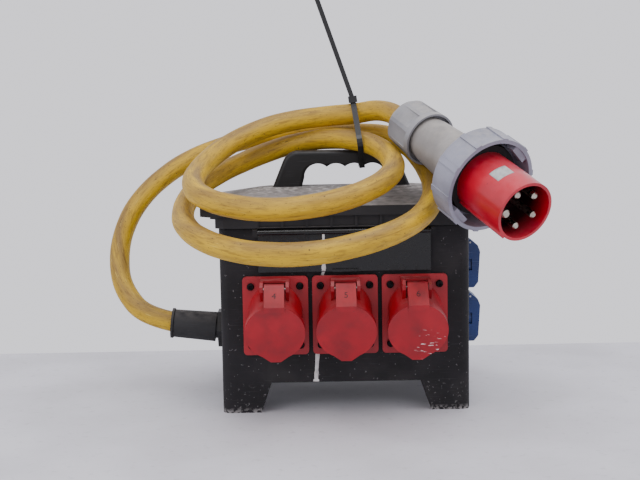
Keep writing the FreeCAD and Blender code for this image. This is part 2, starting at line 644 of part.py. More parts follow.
def make_outlet_hinge(index):
    """Steel pin through both lugs and the closing spring beside the lid's barrel."""
    name = f"outlet_{index}_hinge_pin"
    pin = doc.addObject("Part::Cylinder", name)
    pin.Placement = Placement(Vector(0, 0, 0), Rotation(Y, 90))
    bind(pin, "Radius", "lid_pin / 2")
    bind(pin, "Height", "arm_width + 3 + 2 * lug_thick")
    bind(pin, "Placement.Base.x", f"{index - 2} * outlet_pitch - (arm_width + 3 + 2 * lug_thick) / 2")
    bind(pin, "Placement.Base.y", "-body_depth / 2 - gasket_thick - hinge_out")
    bind(pin, "Placement.Base.z", "outlet_middle + hinge_up")
    node(pin, name)
    x = (index - 2) * size("outlet_pitch") + size("arm_width") / 2 - 7
    y = -size("body_depth") / 2 - size("gasket_thick") - size("hinge_out")
    torsion_spring(f"outlet_{index}_spring", 6, 0.9, size("lid_pin") + 0.6, 5, x, y,
                   size("outlet_middle") + size("hinge_up"), Rotation(Y, 90))


def make_outlet_gaskets():
    """Flat gaskets between the three flanges and the body."""
    wide, high, thick = size("flange_width") - 2, size("flange_high") - 2, size("gasket_thick")
    sheets = []
    for k in (-1, 0, 1):
        x = k * size("outlet_pitch")
        flat = Part.makeBox(wide, thick, high,
                            Vector(x - wide / 2, -size("body_depth") / 2 - thick, size("outlet_middle") - high / 2))
        middle = Vector(x, 0, size("outlet_middle"))
        opening = middle + Vector(0, 0, size("collar_up"))
        flat = flat.cut(Part.makeCylinder(size("collar_outer") / 2, 200, opening, -Y))
        for i in (-1, 1):
            for j in (-1, 1):
                spot = middle + Vector(i * size("flange_screws_x") / 2, 0, j * size("flange_screws_z") / 2)
                flat = flat.cut(Part.makeCylinder(size("screw_shank") / 2 + 0.3, 200, spot, -Y))
        sheets.append(flat)
    group("outlet_gaskets", sheets)


def make_outlet_screws():
    """Twelve flange screws, four to an outlet."""
    one = screw(size("screw_shank"), size("screw_head"), size("screw_long"))
    turn = Rotation(X, 90)
    seat = -size("body_depth") / 2 - size("gasket_thick") - size("flange_thick")
    places = [(k * size("outlet_pitch") + i * size("flange_screws_x") / 2, seat,
               size("outlet_middle") + j * size("flange_screws_z") / 2)
              for k in (-1, 0, 1) for i in (-1, 1) for j in (-1, 1)]
    group("outlet_screws", [moved(one, *spot, turn) for spot in places])


# ---- domestic outlets on the right side --------------------------------------------------------

def side_frame(thing, index):
    return place(thing, "body_width / 2", "side_back", f"side_middle + {3 - 2 * index} * side_pitch / 2",
                 Rotation(Z, 90))


SIDE_AXIS = ("-side_flange - 6", "side_high / 2 - 6")


def make_side_outlet(index):
    """Panel outlet: flange with a round well, an insert, a sprung hinged lid and its pin."""
    name = f"side_outlet_{index}_housing"
    housing = body(name)
    plan = rectangle(housing, "flange_plan", "XZ_Plane", "side_width", "side_high")
    flange = feature(housing, "Pad", "flange", plan, "side_flange")
    rounded(housing, "flange_corners", flange, "4", lambda e: runs_along(e, Y))
    rim = circles(housing, "rim_plan", "XZ_Plane", [("0", "-2")], "well_outer", "-(well_deep + 6 - rim_out)")
    feature(housing, "Pad", "rim", rim, "well_deep + 6")
    for side in (-1, 1):
        ear = outline(housing, f"ear_side_{side + 1}", "YZ_Plane",
                      [("-side_flange + 1", "side_high / 2 - 2"), ("-side_flange - 7", "side_high / 2 - 2"),
                       ("-side_flange - 9", "side_high / 2 - 6"), ("-side_flange - 7", "side_high / 2 - 10"),
                       ("-side_flange + 1", "side_high / 2 - 12")],
                      f"{side} * (side_lid_width / 2 + 2) - 1.5")
        feature(housing, "Pad", f"ear_{side + 1}", ear, "3")
    well = circles(housing, "well_plan", "XZ_Plane", [("0", "-2")], "well_inner", "rim_out")
    feature(housing, "Pocket", "well", well, "well_deep + 3")
    pin = circles(housing, "pin_plan", "YZ_Plane", [SIDE_AXIS], "side_pin + pin_gap", "side_lid_width")
    feature(housing, "Pocket", "pin_holes", pin, "2 * side_lid_width")
    holes = [(f"{i} * (side_width / 2 - 5)", f"{j} * (side_high / 2 - 8)") for i in (-1, 1) for j in (-1, 1)]
    screws = circles(housing, "screw_plan", "XZ_Plane", holes, "screw_shank - 0.6", "side_flange")
    feature(housing, "Pocket", "screw_holes", screws, "side_flange + 1")
    heads = circles(housing, "head_plan", "XZ_Plane", holes, "6", "side_flange")
    feature(housing, "Pocket", "head_holes", heads, "2")
    side_frame(housing, index)
    node(housing, name)

    insert = body(f"side_outlet_{index}_insert")
    disc = circles(insert, "disc_plan", "XZ_Plane", [("0", "-2")], "well_inner - 0.2",
                   "-(well_deep + 3 - rim_out)")
    feature(insert, "Pad", "disc", disc, "3")
    pins = circles(insert, "pin_plan", "XZ_Plane", [("-9.5", "-2"), ("9.5", "-2")], "5.4", "20")
    feature(insert, "Pocket", "pin_sockets", pins, "60")
    side_frame(insert, index)
    node(insert, f"side_outlet_{index}_insert")

    lid = body(f"side_outlet_{index}_lid")
    low = "-side_high / 2 + 1.5"
    side_view = outline(lid, "lid_side", "YZ_Plane",
                        [("-side_flange - 0.6", "side_high / 2 - 12"),
                         ("-side_flange - 2", "side_high / 2 - 4"),
                         ("-side_flange - 6", "side_high / 2 - 2"),
                         ("-side_lid_out + 3", "side_high / 2 - 10"),
                         ("-side_lid_out", "side_high / 2 - 18"), ("-side_lid_out + 2.5", low + " + 7"),
                         ("-side_lid_out + 8", low), ("-side_flange - 0.6", low)],
                        "-side_lid_width / 2")
    shape = feature(lid, "Pad", "cover", side_view, "side_lid_width")
    rounded(lid, "cover_edges", shape, "3",
            lambda e: runs_along(e, X) and e.CenterOfMass.y < -size("side_lid_out") + 9)
    inside = circles(lid, "inside_plan", "XZ_Plane", [("0", "-2")], "well_outer - 2.4", "side_lid_out - 3.5")
    feature(lid, "Pocket", "inside", inside, "side_lid_out", back=False)
    relief = circles(lid, "relief_plan", "XZ_Plane", [("0", "-2")], "well_outer + 5.4", "rim_out + 0.5")
    feature(lid, "Pocket", "rim_relief", relief, "side_lid_out")
    bore = circles(lid, "bore_plan", "YZ_Plane", [SIDE_AXIS], "side_pin + 2 * pin_gap", "side_lid_width")
    feature(lid, "Pocket", "bore", bore, "2 * side_lid_width")
    notch = circles(lid, "notch_plan", "YZ_Plane", [SIDE_AXIS], "10", "side_lid_width / 2 + 1")
    feature(lid, "Pocket", "spring_notch", notch, "9")
    side_frame(lid, index)
    node(lid, f"side_outlet_{index}_lid")

    name = f"side_outlet_{index}_hinge_pin"
    rod = doc.addObject("Part::Cylinder", name)
    rod.Placement = Placement(Vector(0, 0, 0), Rotation(X, -90))
    bind(rod, "Radius", "side_pin / 2")
    bind(rod, "Height", "side_lid_width + 6")
    bind(rod, "Placement.Base.x", "body_width / 2 + side_flange + 6")
    bind(rod, "Placement.Base.y", "side_back - side_lid_width / 2 - 3")
    bind(rod, "Placement.Base.z", f"side_middle + {3 - 2 * index} * side_pitch / 2 + side_high / 2 - 6")
    node(rod, name)
    middle = size("side_middle") + (3 - 2 * index) * size("side_pitch") / 2
    torsion_spring(f"side_outlet_{index}_spring", 6, 0.8, size("side_pin") + 0.6, 5,
                   size("body_width") / 2 + size("side_flange") + 6,
                   size("side_back") + size("side_lid_width") / 2 - 7,
                   middle + size("side_high") / 2 - 6, Rotation(X, -90))


def make_side_screws():
    """Eight small sunk screws, four to a side outlet."""
    shank = size("screw_shank") - 1
    one = spin_solid([(0, -9), (shank / 2, -9), (shank / 2, -2), (2.6, -2), (2.6, -0.8), (0, -0.3)])
    turn = Rotation(Y, 90)
    seat = size("body_width") / 2 + size("side_flange")
    places = [(seat, size("side_back") + i * (size("side_width") / 2 - 5),
               size("side_middle") + j * size("side_pitch") / 2 + k * (size("side_high") / 2 - 8))
              for i in (-1, 1) for j in (-1, 1) for k in (-1, 1)]
    group("side_outlet_screws", [moved(one, *spot, turn) for spot in places])


# ---- breakers ----------------------------------------------------------------------------------

DEVICES = [("rcd", 4), ("breaker_1", 3), ("breaker_2", 3), ("breaker_3", 1)]
DEVICE_FRONT = "-body_depth / 2 + wall + 1"


def make_device(name, modules, start):
    """Rail-mounted switch with a stepped nose, its lever in a slot, and a test button on the first."""
    device = body(name)
    side = outline(device, "device_side", "YZ_Plane",
                   [("0", "-nose_high / 2"), ("0", "nose_high / 2"), ("nose_deep", "nose_high / 2"),
                    ("nose_deep", "device_high / 2"), ("device_deep", "device_high / 2"),
                    ("device_deep", "-device_high / 2"), ("nose_deep", "-device_high / 2"),
                    ("nose_deep", "-nose_high / 2")])
    feature(device, "Pad", "case", side, f"{modules} * module - 0.4")
    middle = f"{modules} * module / 2 - 0.2"
    wide = f"{modules} * module * 0.6"
    slot = rectangle(device, "slot_plan", "XZ_Plane", f"{wide} + 1", "24", (middle, "0"))
    feature(device, "Pocket", "slot", slot, "13")
    if name == "rcd":
        button = circles(device, "button_plan", "XZ_Plane", [("7", "-15")], "7")
        feature(device, "Pocket", "button_hole", button, "5")
    place(device, start, DEVICE_FRONT, "window_middle")
    node(device, name)

    lever = body(name + "_lever")
    root = circles(lever, "root_plan", "YZ_Plane", [("6.5", "0")], "2 * lever_root",
                   f"({middle}) - ({wide}) / 2")
    feature(lever, "Pad", "root", root, wide)
    bar = outline(lever, "bar_side", "YZ_Plane",
                  [("6", "-3"), ("6", "4"), ("-lever_out + 2", "9"), ("-lever_out", "7"), ("-lever_out", "4")],
                  f"({middle}) - ({wide}) / 2")
    feature(lever, "Pad", "bar", bar, wide)
    place(lever, start, DEVICE_FRONT, "window_middle")
    node(lever, name + "_lever")


def make_breakers():
    """Four devices side by side on one rail, filling the window."""
    used = 0
    total = sum(modules for _, modules in DEVICES)
    for name, modules in DEVICES:
        make_device(name, modules, f"({used} - {total} / 2) * module")
        used += modules
    button = doc.addObject("Part::Cylinder", "rcd_test_button")
    button.Placement = Placement(Vector(0, 0, 0), Rotation(X, 90))
    button.Radius = 3.2
    button.Height = 5.5
    bind(button, "Placement.Base.x", f"-{total} / 2 * module + 7")
    bind(button, "Placement.Base.y", DEVICE_FRONT + " + 3.2")
    bind(button, "Placement.Base.z", "window_middle - 15")
    node(button, "rcd_test_button")

    rail = body("din_rail")
    back = f"({DEVICE_FRONT}) + device_deep"
    half = "rail_width / 2"
    side = outline(rail, "rail_side", "YZ_Plane",
                   [(back, half), (f"{back} + 1", half), (f"{back} + 1", f"{half} - 5"),
                    (f"{back} + 7.5", f"{half} - 5"), (f"{back} + 7.5", f"-{half} + 5"),
                    (f"{back} + 1", f"-{half} + 5"), (f"{back} + 1", f"-{half}"), (back, f"-{half}"),
                    (back, f"-{half} + 6"), (f"{back} + 6.5", f"-{half} + 6"),
                    (f"{back} + 6.5", f"{half} - 6"), (back, f"{half} - 6")],
                   "-(body_width / 2 - wall - 12)")
    feature(rail, "Pad", "rail", side, "2 * (body_width / 2 - wall - 12)")
    place(rail, z="window_middle")
    node(rail, "din_rail")

    back = size("body_depth") / 2 - size("wall")
    front = -size("body_depth") / 2 + size("wall") + 1 + size("device_deep") + 7.5
    low = size("window_middle") - 11
    plates = []
    for side in (-1, 1):
        arm = Part.makeBox(3, back - front, 22, Vector(side * 110 - 1.5, front, low))
        foot = Part.makeBox(27, 3, 22, Vector(side * 110 - 13.5, back - 3, low))
        pad = Part.makeBox(15, 3, 22, Vector(side * 110 - 7.5, front, low))
        plates.append(arm.fuse([foot, pad]).removeSplitter())
    group("rail_brackets", plates)


# ---- cable entry, cable and tie ----------------------------------------------------------------

def entry_heading():
    tip = math.radians(size("entry_tilt"))
    return Vector(-math.cos(tip), 0, math.sin(tip))


def entry_point(along):
    """A point on the cable's line out of the left side, measured from the gland's outer face."""
    start = Vector(-size("body_width") / 2 - size("entry_out"), 0, size("entry_up") + 1)
    return start + entry_heading() * along


def entry_frame(thing):
    """Puts a piece with its axis along Z onto the cable's line out of the left side."""
    thing.Placement = Placement(entry_point(0), Rotation(Z, entry_heading()))
    return thing


def make_entry():
    """Threaded gland through the left wall, its nut inside, and the rubber sleeve on its spigot."""
    out = size("body_width") / 2
    flat = size("entry_hex") / math.sqrt(3)
    corners = [Vector(-out - size("entry_out"), flat * math.cos(k * math.pi / 3),
                      size("entry_up") + flat * math.sin(k * math.pi / 3)) for k in range(7)]
    hexagon = Part.Face(Part.makePolygon(corners)).extrude(Vector(size("entry_out"), 0, 0))
    thread = Part.makeCylinder(16, size("wall") + 16, Vector(-out, 0, size("entry_up")), X)
    spigot = Part.makeCylinder(size("spigot") / 2, size("spigot_long"))
    spigot = entry_frame(spigot)
    shaped("cable_gland", hexagon.fuse([thread, spigot]).removeSplitter())

    start = -out + size("wall")
    corners = [Vector(start, 24 * math.cos(k * math.pi / 3), size("entry_up") + 24 * math.sin(k * math.pi / 3))
               for k in range(7)]
    nut = Part.Face(Part.makePolygon(corners)).extrude(Vector(7, 0, 0))
    nut = nut.cut(Part.makeCylinder(16.1, 20, Vector(start - 5, 0, size("entry_up")), X))
    shaped("gland_locknut", nut)

    sleeve = body("cable_sleeve")
    gap = "slide_gap"
    side = outline(sleeve, "sleeve_side", "XZ_Plane",
                   [(f"spigot / 2 + {gap} / 3", "3"), ("sleeve_root / 2", "3"),
                    ("sleeve_tip / 2", "sleeve_length - 4"), ("sleeve_tip / 2 + 1.6", "sleeve_length - 3"),
                    ("sleeve_tip / 2 + 1.6", "sleeve_length"), (f"cable / 2 + {gap}", "sleeve_length"),
                    (f"cable / 2 + {gap}", "spigot_long"), (f"spigot / 2 + {gap} / 3", "spigot_long")])
    turned(sleeve, "Revolution", "sleeve", side)
    entry_frame(sleeve)
    node(sleeve, "cable_sleeve")


CABLE_ROUTE = [
    # over the handle to the left
    (50, -16, 370), (18, 3, 364), (-27, 12, 361.5), (-76, 10, 355), (-120, -10, 341),
    # round the left and along the front of the first turn
    (-155, -48, 322), (-176, -95, 302), (-181, -148, 287), (-166, -198, 276), (-132, -234, 268),
    (-86, -252, 264), (-38, -250, 267), (6, -229, 275), (40, -192, 286), (60, -146, 298),
    # back over the handle
    (62, -97, 309), (49, -54, 323), (18, -21, 332.5), (-24, 13, 333), (-72, 31, 324),
    # round the left and along the front of the second turn
    (-123, 20, 306), (-163, -18, 289), (-187, -70, 273), (-194, -127, 256), (-188, -182, 243),
    (-165, -230, 231), (-127, -265, 222), (-80, -282, 218), (-28, -284, 220), (23, -270, 229),
    (66, -234, 240), (96, -176, 252.5), (111, -122, 272.5),
    # behind the plug and over the handle again
    (106, -69, 297), (87, -26, 325), (56, 8, 338), (16, 30, 338), (-30, 48, 341), (-74, 62, 340),
    # out to the left and down to the sleeve
    (-116, 70, 334), (-161, 72, 322), (-208, 70, 304), (-250, 68, 276), (-283, 63, 240),
    (-302, 54, 192), (-298, 32, 137),
]


def cable_points():
    """The hand-laid route with its two straight ends, in the plug and in the sleeve."""
    cable_end = size("nut_back") + 23
    return ([PLUG_START + PLUG_AXIS * cable_end, PLUG_START - PLUG_AXIS * 3]
            + [Vector(*point) for point in CABLE_ROUTE]
            + [entry_point(size("spigot_long") + size("entry_run")), entry_point(size("spigot_long"))])


def make_cable():
    """Supply cable from inside the plug's nut, twice round on the handle, to the gland."""
    solid, length, radii = tube(cable_points(), size("cable"))
    ideal = math.pi * size("cable") ** 2 / 4 * length
    print("cable length %.0f, volume over section times length %.4f" % (length, solid.Volume / ideal))
    print("cable radii", [round(r) for r in radii])
    return shaped("supply_cable", solid)


def hull(points):
    """The convex outline round a set of (y, z) points, anticlockwise."""
    points = sorted(set(points))

    def half(row):
        chain = []
        for q in row:
            while len(chain) > 1 and turns_right(chain[-2], chain[-1], q):
                chain.pop()
            chain.append(q)
        return chain[:-1]

    return half(points) + half(points[::-1])


def turns_right(a, b, c):
    return (b[0] - a[0]) * (c[1] - a[1]) - (b[1] - a[1]) * (c[0] - a[0]) <= 0


# the strands that the tie holds where it crosses them: y, z and the half width across the tie
TIED_STRANDS = [(1.1, 364.8, 16.5), (-29, 329.3, 24.5), (26.6, 338.4, 17.5)]
TIE_MIDDLE = (22, 338)
TIE_LEAN = -7


def make_tie():
    """Cable tie round the handle's bar and the three strands above it, with its tail left long."""
    wide, thick = size("tie_width"), size("tie_thick")
    half = size("handle_depth") / 2
    under = (size("body_top") + size("seal_thick") + size("hood_skirt") + size("roof_rise")
             + size("handle_high") - size("handle_thick"))
    faces = []
    for grow in (0.8, 0.8 + thick):
        points = [(j * (half + grow), under - grow) for j in (-1, 1)]
        for y, z, across in TIED_STRANDS:
            for k in range(20):
                angle = math.radians(18 * k)
                points.append((y + (across + grow) * math.cos(angle),
                               z + (size("cable") / 2 + grow) * math.sin(angle)))
        corners = [Vector(-wide / 2, y, z - TIE_MIDDLE[1]) for y, z in hull(points)]
        faces.append(Part.Face(Part.makePolygon(corners + corners[:1])))
    band = faces[1].cut(faces[0]).extrude(Vector(wide, 0, 0))
    top = 364.6 + size("cable") / 2 - TIE_MIDDLE[1]
    head = Part.makeBox(11, 10, 8.5, Vector(-5.5, -7, top + 1.2))
    tail = Part.makeBox(wide - 1, thick, 150, Vector(-(wide - 1) / 2, -3, top + 6))
    tail.rotate(Vector(0, -3, top + 6), Y, -12)
    place_tie = Placement(Vector(TIE_MIDDLE[0], 0, TIE_MIDDLE[1]), Rotation(Y, TIE_LEAN))
    return shaped("cable_tie", band.fuse([head, tail]).removeSplitter(), place_tie)


# ---- plug --------------------------------------------------------------------------------------

PLUG_START = Vector(74, -49, 361)
PLUG_AXIS = Vector(0.4546, -0.8019, -0.3876)
PLUG_UP = Vector(0.705, 0.060, 0.705)


def plug_placement():
    """Lays a piece with its axis along Z on the plug's line."""
    across = PLUG_AXIS.cross(PLUG_UP)
    return Placement(PLUG_START, Rotation(PLUG_UP, across, PLUG_AXIS, "ZXY"))


def plug_frame(thing):
    thing.Placement = plug_placement()
    return thing


def make_plug():
    """Cap nut, body, locking ring, seal, shroud and five pins along one axis."""
    nut = body("plug_cap_nut")
    side = outline(nut, "nut_side", "XZ_Plane",
                   [("cable / 2 + 0.5", "nut_back"), ("nut_outer / 2 - 3", "nut_back"),
                    ("nut_outer / 2 - 2", "nut_back + 1.5"), ("nut_outer / 2", "nut_front - 4"),
                    ("nut_outer / 2", "nut_front"), ("nut_outer / 2 - 2.5", "nut_front"),
                    ("nut_outer / 2 - 2.5", "nut_front - 7"), ("plug_neck / 2 - 2", "nut_front - 7"),
                    ("plug_neck / 2 - 2", "nut_back + 22"),
                    ("cable / 2 + 0.5", "nut_back + 22")])
    turned(nut, "Revolution", "nut", side)
    flute = outline(nut, "flute_plan", "XY_Plane",
                    [("nut_outer / 2 - 3.5", "-10"), ("nut_outer / 2 + 4", "-11"),
                     ("nut_outer / 2 + 4", "11"), ("nut_outer / 2 - 3.5", "10")], "nut_front - 8")
    cut = feature(nut, "Pocket", "flute", flute, "nut_front - nut_back")
    polar(nut, "flutes", cut, 8)
    node(plug_frame(nut), "plug_cap_nut")

    case = body("plug_body")
    side = outline(case, "body_side", "XZ_Plane",
                   [("0", "nut_back + 23"), ("plug_neck / 2 - 2.3", "nut_back + 23"),
                    ("plug_neck / 2 - 2.3", "nut_front - 6"), ("plug_neck / 2 - 0.6", "nut_front - 6"),
                    ("plug_neck / 2 - 0.6", "nut_front + 5"), ("plug_neck / 2 + 0.4", "nut_front + 6"),
                    ("plug_wide / 2", "ring_back - 4"), ("plug_wide / 2", "ring_back + 5"),
                    ("plug_collar / 2", "ring_back + 6"), ("plug_collar / 2", "seat"),
                    ("plug_neck / 2 - 5", "seat"), ("plug_neck / 2 - 5", "nut_back + 32"),
                    ("0", "nut_back + 32")])
    turned(case, "Revolution", "case", side)
    node(plug_frame(case), "plug_body")

    ring = body("plug_locking_ring")
    side = outline(ring, "ring_side", "XZ_Plane",
                   [("plug_wide / 2 + slide_gap", "ring_back"), ("ring_outer / 2 - 2", "ring_back"),
                    ("ring_outer / 2", "ring_back + 3"), ("ring_outer / 2", "ring_front"),
                    ("ring_outer / 2 - ring_wall", "ring_front"),
                    ("ring_outer / 2 - ring_wall", "ring_back + 5"),
                    ("plug_wide / 2 + slide_gap", "ring_back + 5")])
    turned(ring, "Revolution", "ring", side)
    rib = rectangle(ring, "rib_plan", "XY_Plane", "4", "7", ("ring_outer / 2 - 0.6", "0"), "ring_back + 3")
    polar(ring, "ribs", feature(ring, "Pad", "rib", rib, "ring_front - ring_back - 3"), 10)
    lug = rectangle(ring, "lug_plan", "XY_Plane", "8", "24",
                    ("ring_outer / 2 - ring_wall - 3.5", "0"), "ring_front - 12")
    polar(ring, "lugs", feature(ring, "Pad", "lug", lug, "10"), 2)
    node(plug_frame(ring), "plug_locking_ring")

    seal = body("plug_seal")
    side = outline(seal, "seal_side", "XZ_Plane",
                   [("shroud_outer / 2 + 0.1", "seat"), ("plug_collar / 2", "seat"),
                    ("plug_collar / 2 - 1", "seat + 7"), ("shroud_outer / 2 + 0.1", "seat + 7")])
    turned(seal, "Revolution", "seal", side)
    node(plug_frame(seal), "plug_seal")

    shroud = body("plug_shroud")
    side = outline(shroud, "shroud_side", "XZ_Plane",
                   [("0", "seat"), ("shroud_outer / 2", "seat"), ("shroud_outer / 2", "shroud_end"),
                    ("shroud_outer / 2 - shroud_wall", "shroud_end"),
                    ("shroud_outer / 2 - shroud_wall", "pin_face"), ("0", "pin_face")])
    turned(shroud, "Revolution", "shroud", side)
    key = rectangle(shroud, "key_plan", "XY_Plane", "4", "8", ("-shroud_outer / 2", "0"), "seat + 8")
    feature(shroud, "Pad", "key_rib", key, "shroud_end - seat - 8")
    for k in range(5):
        hole = circles(shroud, f"pin_plan_{k}", "XY_Plane", [pin_spot(k)],
                       pin_across(k) + " + pin_gap", "pin_face")
        feature(shroud, "Pocket", f"pin_hole_{k}", hole, "20")
    node(plug_frame(shroud), "plug_shroud")

    pins = []
    for k in range(5):
        turn = math.radians(PIN_START + 72 * k)
        radius = size("pin_circle") / 2
        across = size("earth_size") if k == 0 else size("pin_size")
        long = size("pin_end") - size("pin_face") + 20
        pin = Part.makeCylinder(across / 2, long - 1.5)
        pin = pin.fuse(Part.makeCone(across / 2, across / 2 - 1.5, 1.5, Vector(0, 0, long - 1.5)))
        pin.translate(Vector(radius * math.cos(turn), radius * math.sin(turn), size("pin_face") - 20))
        pins.append(pin.removeSplitter())
    group("plug_pins", pins, plug_placement())


PIN_START = 143


def pin_spot(k):
    """The middle of one pin; the first is the earth pin."""
    turn = math.radians(PIN_START + 72 * k)
    return (f"pin_circle / 2 * {math.cos(turn):.5f}", f"pin_circle / 2 * {math.sin(turn):.5f}")


def pin_across(k):
    return "earth_size" if k == 0 else "pin_size"


# ---- assembly ----------------------------------------------------------------------------------

make_body_shell()
make_hood()
make_hood_seal()
make_handle()
make_body_screws()
make_window()
for number in (1, 2, 3):
    make_outlet_housing(number)
    make_outlet_insert(number)
    make_outlet_lid(number)
    make_outlet_hinge(number)
make_outlet_gaskets()
make_outlet_screws()
for number in (1, 2):
    make_side_outlet(number)
make_side_screws()
make_breakers()
make_entry()
make_cable()
make_tie()
make_plug()
doc.recompute()

bad = [f"{o.Name}: {o.State}" for o in doc.Objects if "Invalid" in o.State or "Error" in o.State]
bad += [o.Label for o in NODES if o.Shape.isNull() or not o.Shape.isValid()]
if bad:
    raise SystemExit("failed objects: " + ", ".join(bad))
os.makedirs("parts", exist_ok=True)
for sub_part in NODES:
    sub_part.Shape.exportStep(f"parts/{sub_part.Label}.step")
print(len(NODES), "sub-parts")
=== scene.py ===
"""Portable power distribution box: its cable, its finishes, a pale floor and a soft studio light.

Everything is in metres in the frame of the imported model: +X to the right seen from the front,
+Y to the back, +Z up, with the floor at z = 0.
"""
import json
import math

import bpy
import numpy as np
from mathutils import Matrix, Vector


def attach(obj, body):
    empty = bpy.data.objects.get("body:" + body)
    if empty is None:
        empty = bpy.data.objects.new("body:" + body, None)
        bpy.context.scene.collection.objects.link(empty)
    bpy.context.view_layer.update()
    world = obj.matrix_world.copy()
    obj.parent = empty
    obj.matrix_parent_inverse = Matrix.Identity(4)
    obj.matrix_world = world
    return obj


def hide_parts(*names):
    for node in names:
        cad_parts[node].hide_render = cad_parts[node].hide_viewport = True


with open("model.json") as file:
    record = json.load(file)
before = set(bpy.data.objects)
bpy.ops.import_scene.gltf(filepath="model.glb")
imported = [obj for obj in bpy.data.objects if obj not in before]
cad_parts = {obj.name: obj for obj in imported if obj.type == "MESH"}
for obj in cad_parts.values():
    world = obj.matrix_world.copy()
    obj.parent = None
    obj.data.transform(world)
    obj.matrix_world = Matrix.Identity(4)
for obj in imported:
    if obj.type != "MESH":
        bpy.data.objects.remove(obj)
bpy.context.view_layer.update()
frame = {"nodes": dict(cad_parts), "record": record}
scene = bpy.context.scene
MM = 0.001


# ---- camera ----------------------------------------------------------------------------------
EYE = Vector((-0.0352, -1.5359, 0.3878))
YAW = math.radians(0.23)
PITCH = math.radians(6.83)
ROLL = math.radians(-1.01)
LENS = 67.5
FILM_WIDTH = 36.0


def make_camera():
    """A long lens that looks a little down, turned a degree about its line of sight."""
    ahead = Vector((math.sin(YAW) * math.cos(PITCH), math.cos(YAW) * math.cos(PITCH), -math.sin(PITCH)))
    level = Vector((math.cos(YAW), -math.sin(YAW), 0.0))
    above = level.cross(ahead)
    right = level * math.cos(ROLL) + above * math.sin(ROLL)
    up = above * math.cos(ROLL) - level * math.sin(ROLL)
    turn = Matrix((right, up, -ahead)).transposed()
    lens = bpy.data.cameras.new("camera")
    lens.lens = LENS
    lens.sensor_width = FILM_WIDTH
    camera = bpy.data.objects.new("camera", lens)
    camera.matrix_world = Matrix.Translation(EYE) @ turn.to_4x4()
    scene.collection.objects.link(camera)
    scene.camera = camera


make_camera()


# ---- meshes ----------------------------------------------------------------------------------
def grid_faces(rows, columns, around):
    """Corner numbers of the four-sided faces of a grid, closed across its columns if it goes around."""
    across = columns if around else columns - 1
    row, column = np.meshgrid(np.arange(rows - 1), np.arange(across), indexing="ij")
    after = (column + 1) % columns
    corners = [row * columns + column, row * columns + after,
               (row + 1) * columns + after, (row + 1) * columns + column]
    return np.stack(corners, axis=-1).reshape(-1, 4)


def make_piece(name, points, faces, body):
    """A smooth-shaded mesh piece from its points and faces, riding on a body."""
    mesh = bpy.data.meshes.new(name)
    mesh.from_pydata(np.asarray(points).reshape(-1, 3).tolist(), [], [list(face) for face in faces])
    mesh.update()
    mesh.polygons.foreach_set("use_smooth", np.ones(len(mesh.polygons), bool))
    piece = bpy.data.objects.new(name, mesh)
    scene.collection.objects.link(piece)
    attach(piece, body)
    return piece


# ---- supply cable ----------------------------------------------------------------------------
CABLE = 27 * MM
CABLE_AROUND = 36  # points round the sheath
DEPTH_SHIFT = 30  # from the y of the CAD's working frame to the y of the imported model, in mm
# the listed points of the cable's line, in mm, from the gland to the plug
CABLE_ROUTE = (
    (-190.9, 0, 89.7), (-256.5, 0, 96.6), (-298, 32, 137), (-302, 54, 192), (-283, 63, 240),
    (-250, 68, 276), (-208, 70, 304), (-161, 72, 322), (-116, 70, 334), (-74, 62, 340),
    (-30, 48, 341), (16, 30, 338), (56, 8, 338), (87, -26, 325), (106, -69, 297),
    (111, -122, 272.5), (96, -176, 252.5), (66, -234, 240), (23, -270, 229), (-28, -284, 220),
    (-80, -282, 218), (-127, -265, 222), (-165, -230, 231), (-188, -182, 243), (-194, -127, 256),
    (-187, -70, 273), (-163, -18, 289), (-123, 20, 306), (-72, 31, 324), (-24, 13, 333),
    (18, -21, 332.5), (49, -54, 323), (62, -97, 309), (60, -146, 298), (40, -192, 286),
    (6, -229, 275), (-38, -250, 267), (-86, -252, 264), (-132, -234, 268), (-166, -198, 276),
    (-181, -148, 287), (-176, -95, 302), (-155, -48, 322), (-120, -10, 341), (-76, 10, 355),
    (-27, 12, 361.5), (18, 3, 364), (50, -16, 370), (72.6, -46.6, 362.2), (94.5, -85.1, 343.6),
)


def smooth_line(route):
    """Points close together along the open quadratic NURBS curve that the route's points control."""
    data = bpy.data.curves.new("cable_line", "CURVE")
    data.dimensions = "3D"
    data.resolution_u = 14
    spline = data.splines.new("NURBS")
    spline.points.add(len(route) - 1)
    spline.points.foreach_set("co", np.c_[route, np.ones(len(route))].ravel())
    spline.order_u = 3
    spline.use_endpoint_u = True
    holder = bpy.data.objects.new("cable_line", data)
    scene.collection.objects.link(holder)
    bpy.context.view_layer.update()
    mesh = bpy.data.meshes.new_from_object(holder)
    points = np.zeros(len(mesh.vertices) * 3)
    mesh.vertices.foreach_get("co", points)
    bpy.data.objects.remove(holder)
    bpy.data.meshes.remove(mesh)
    return points.reshape(-1, 3)


def unit(vectors):
    """The same directions with length 1."""
    return vectors / np.linalg.norm(vectors, axis=-1, keepdims=True)


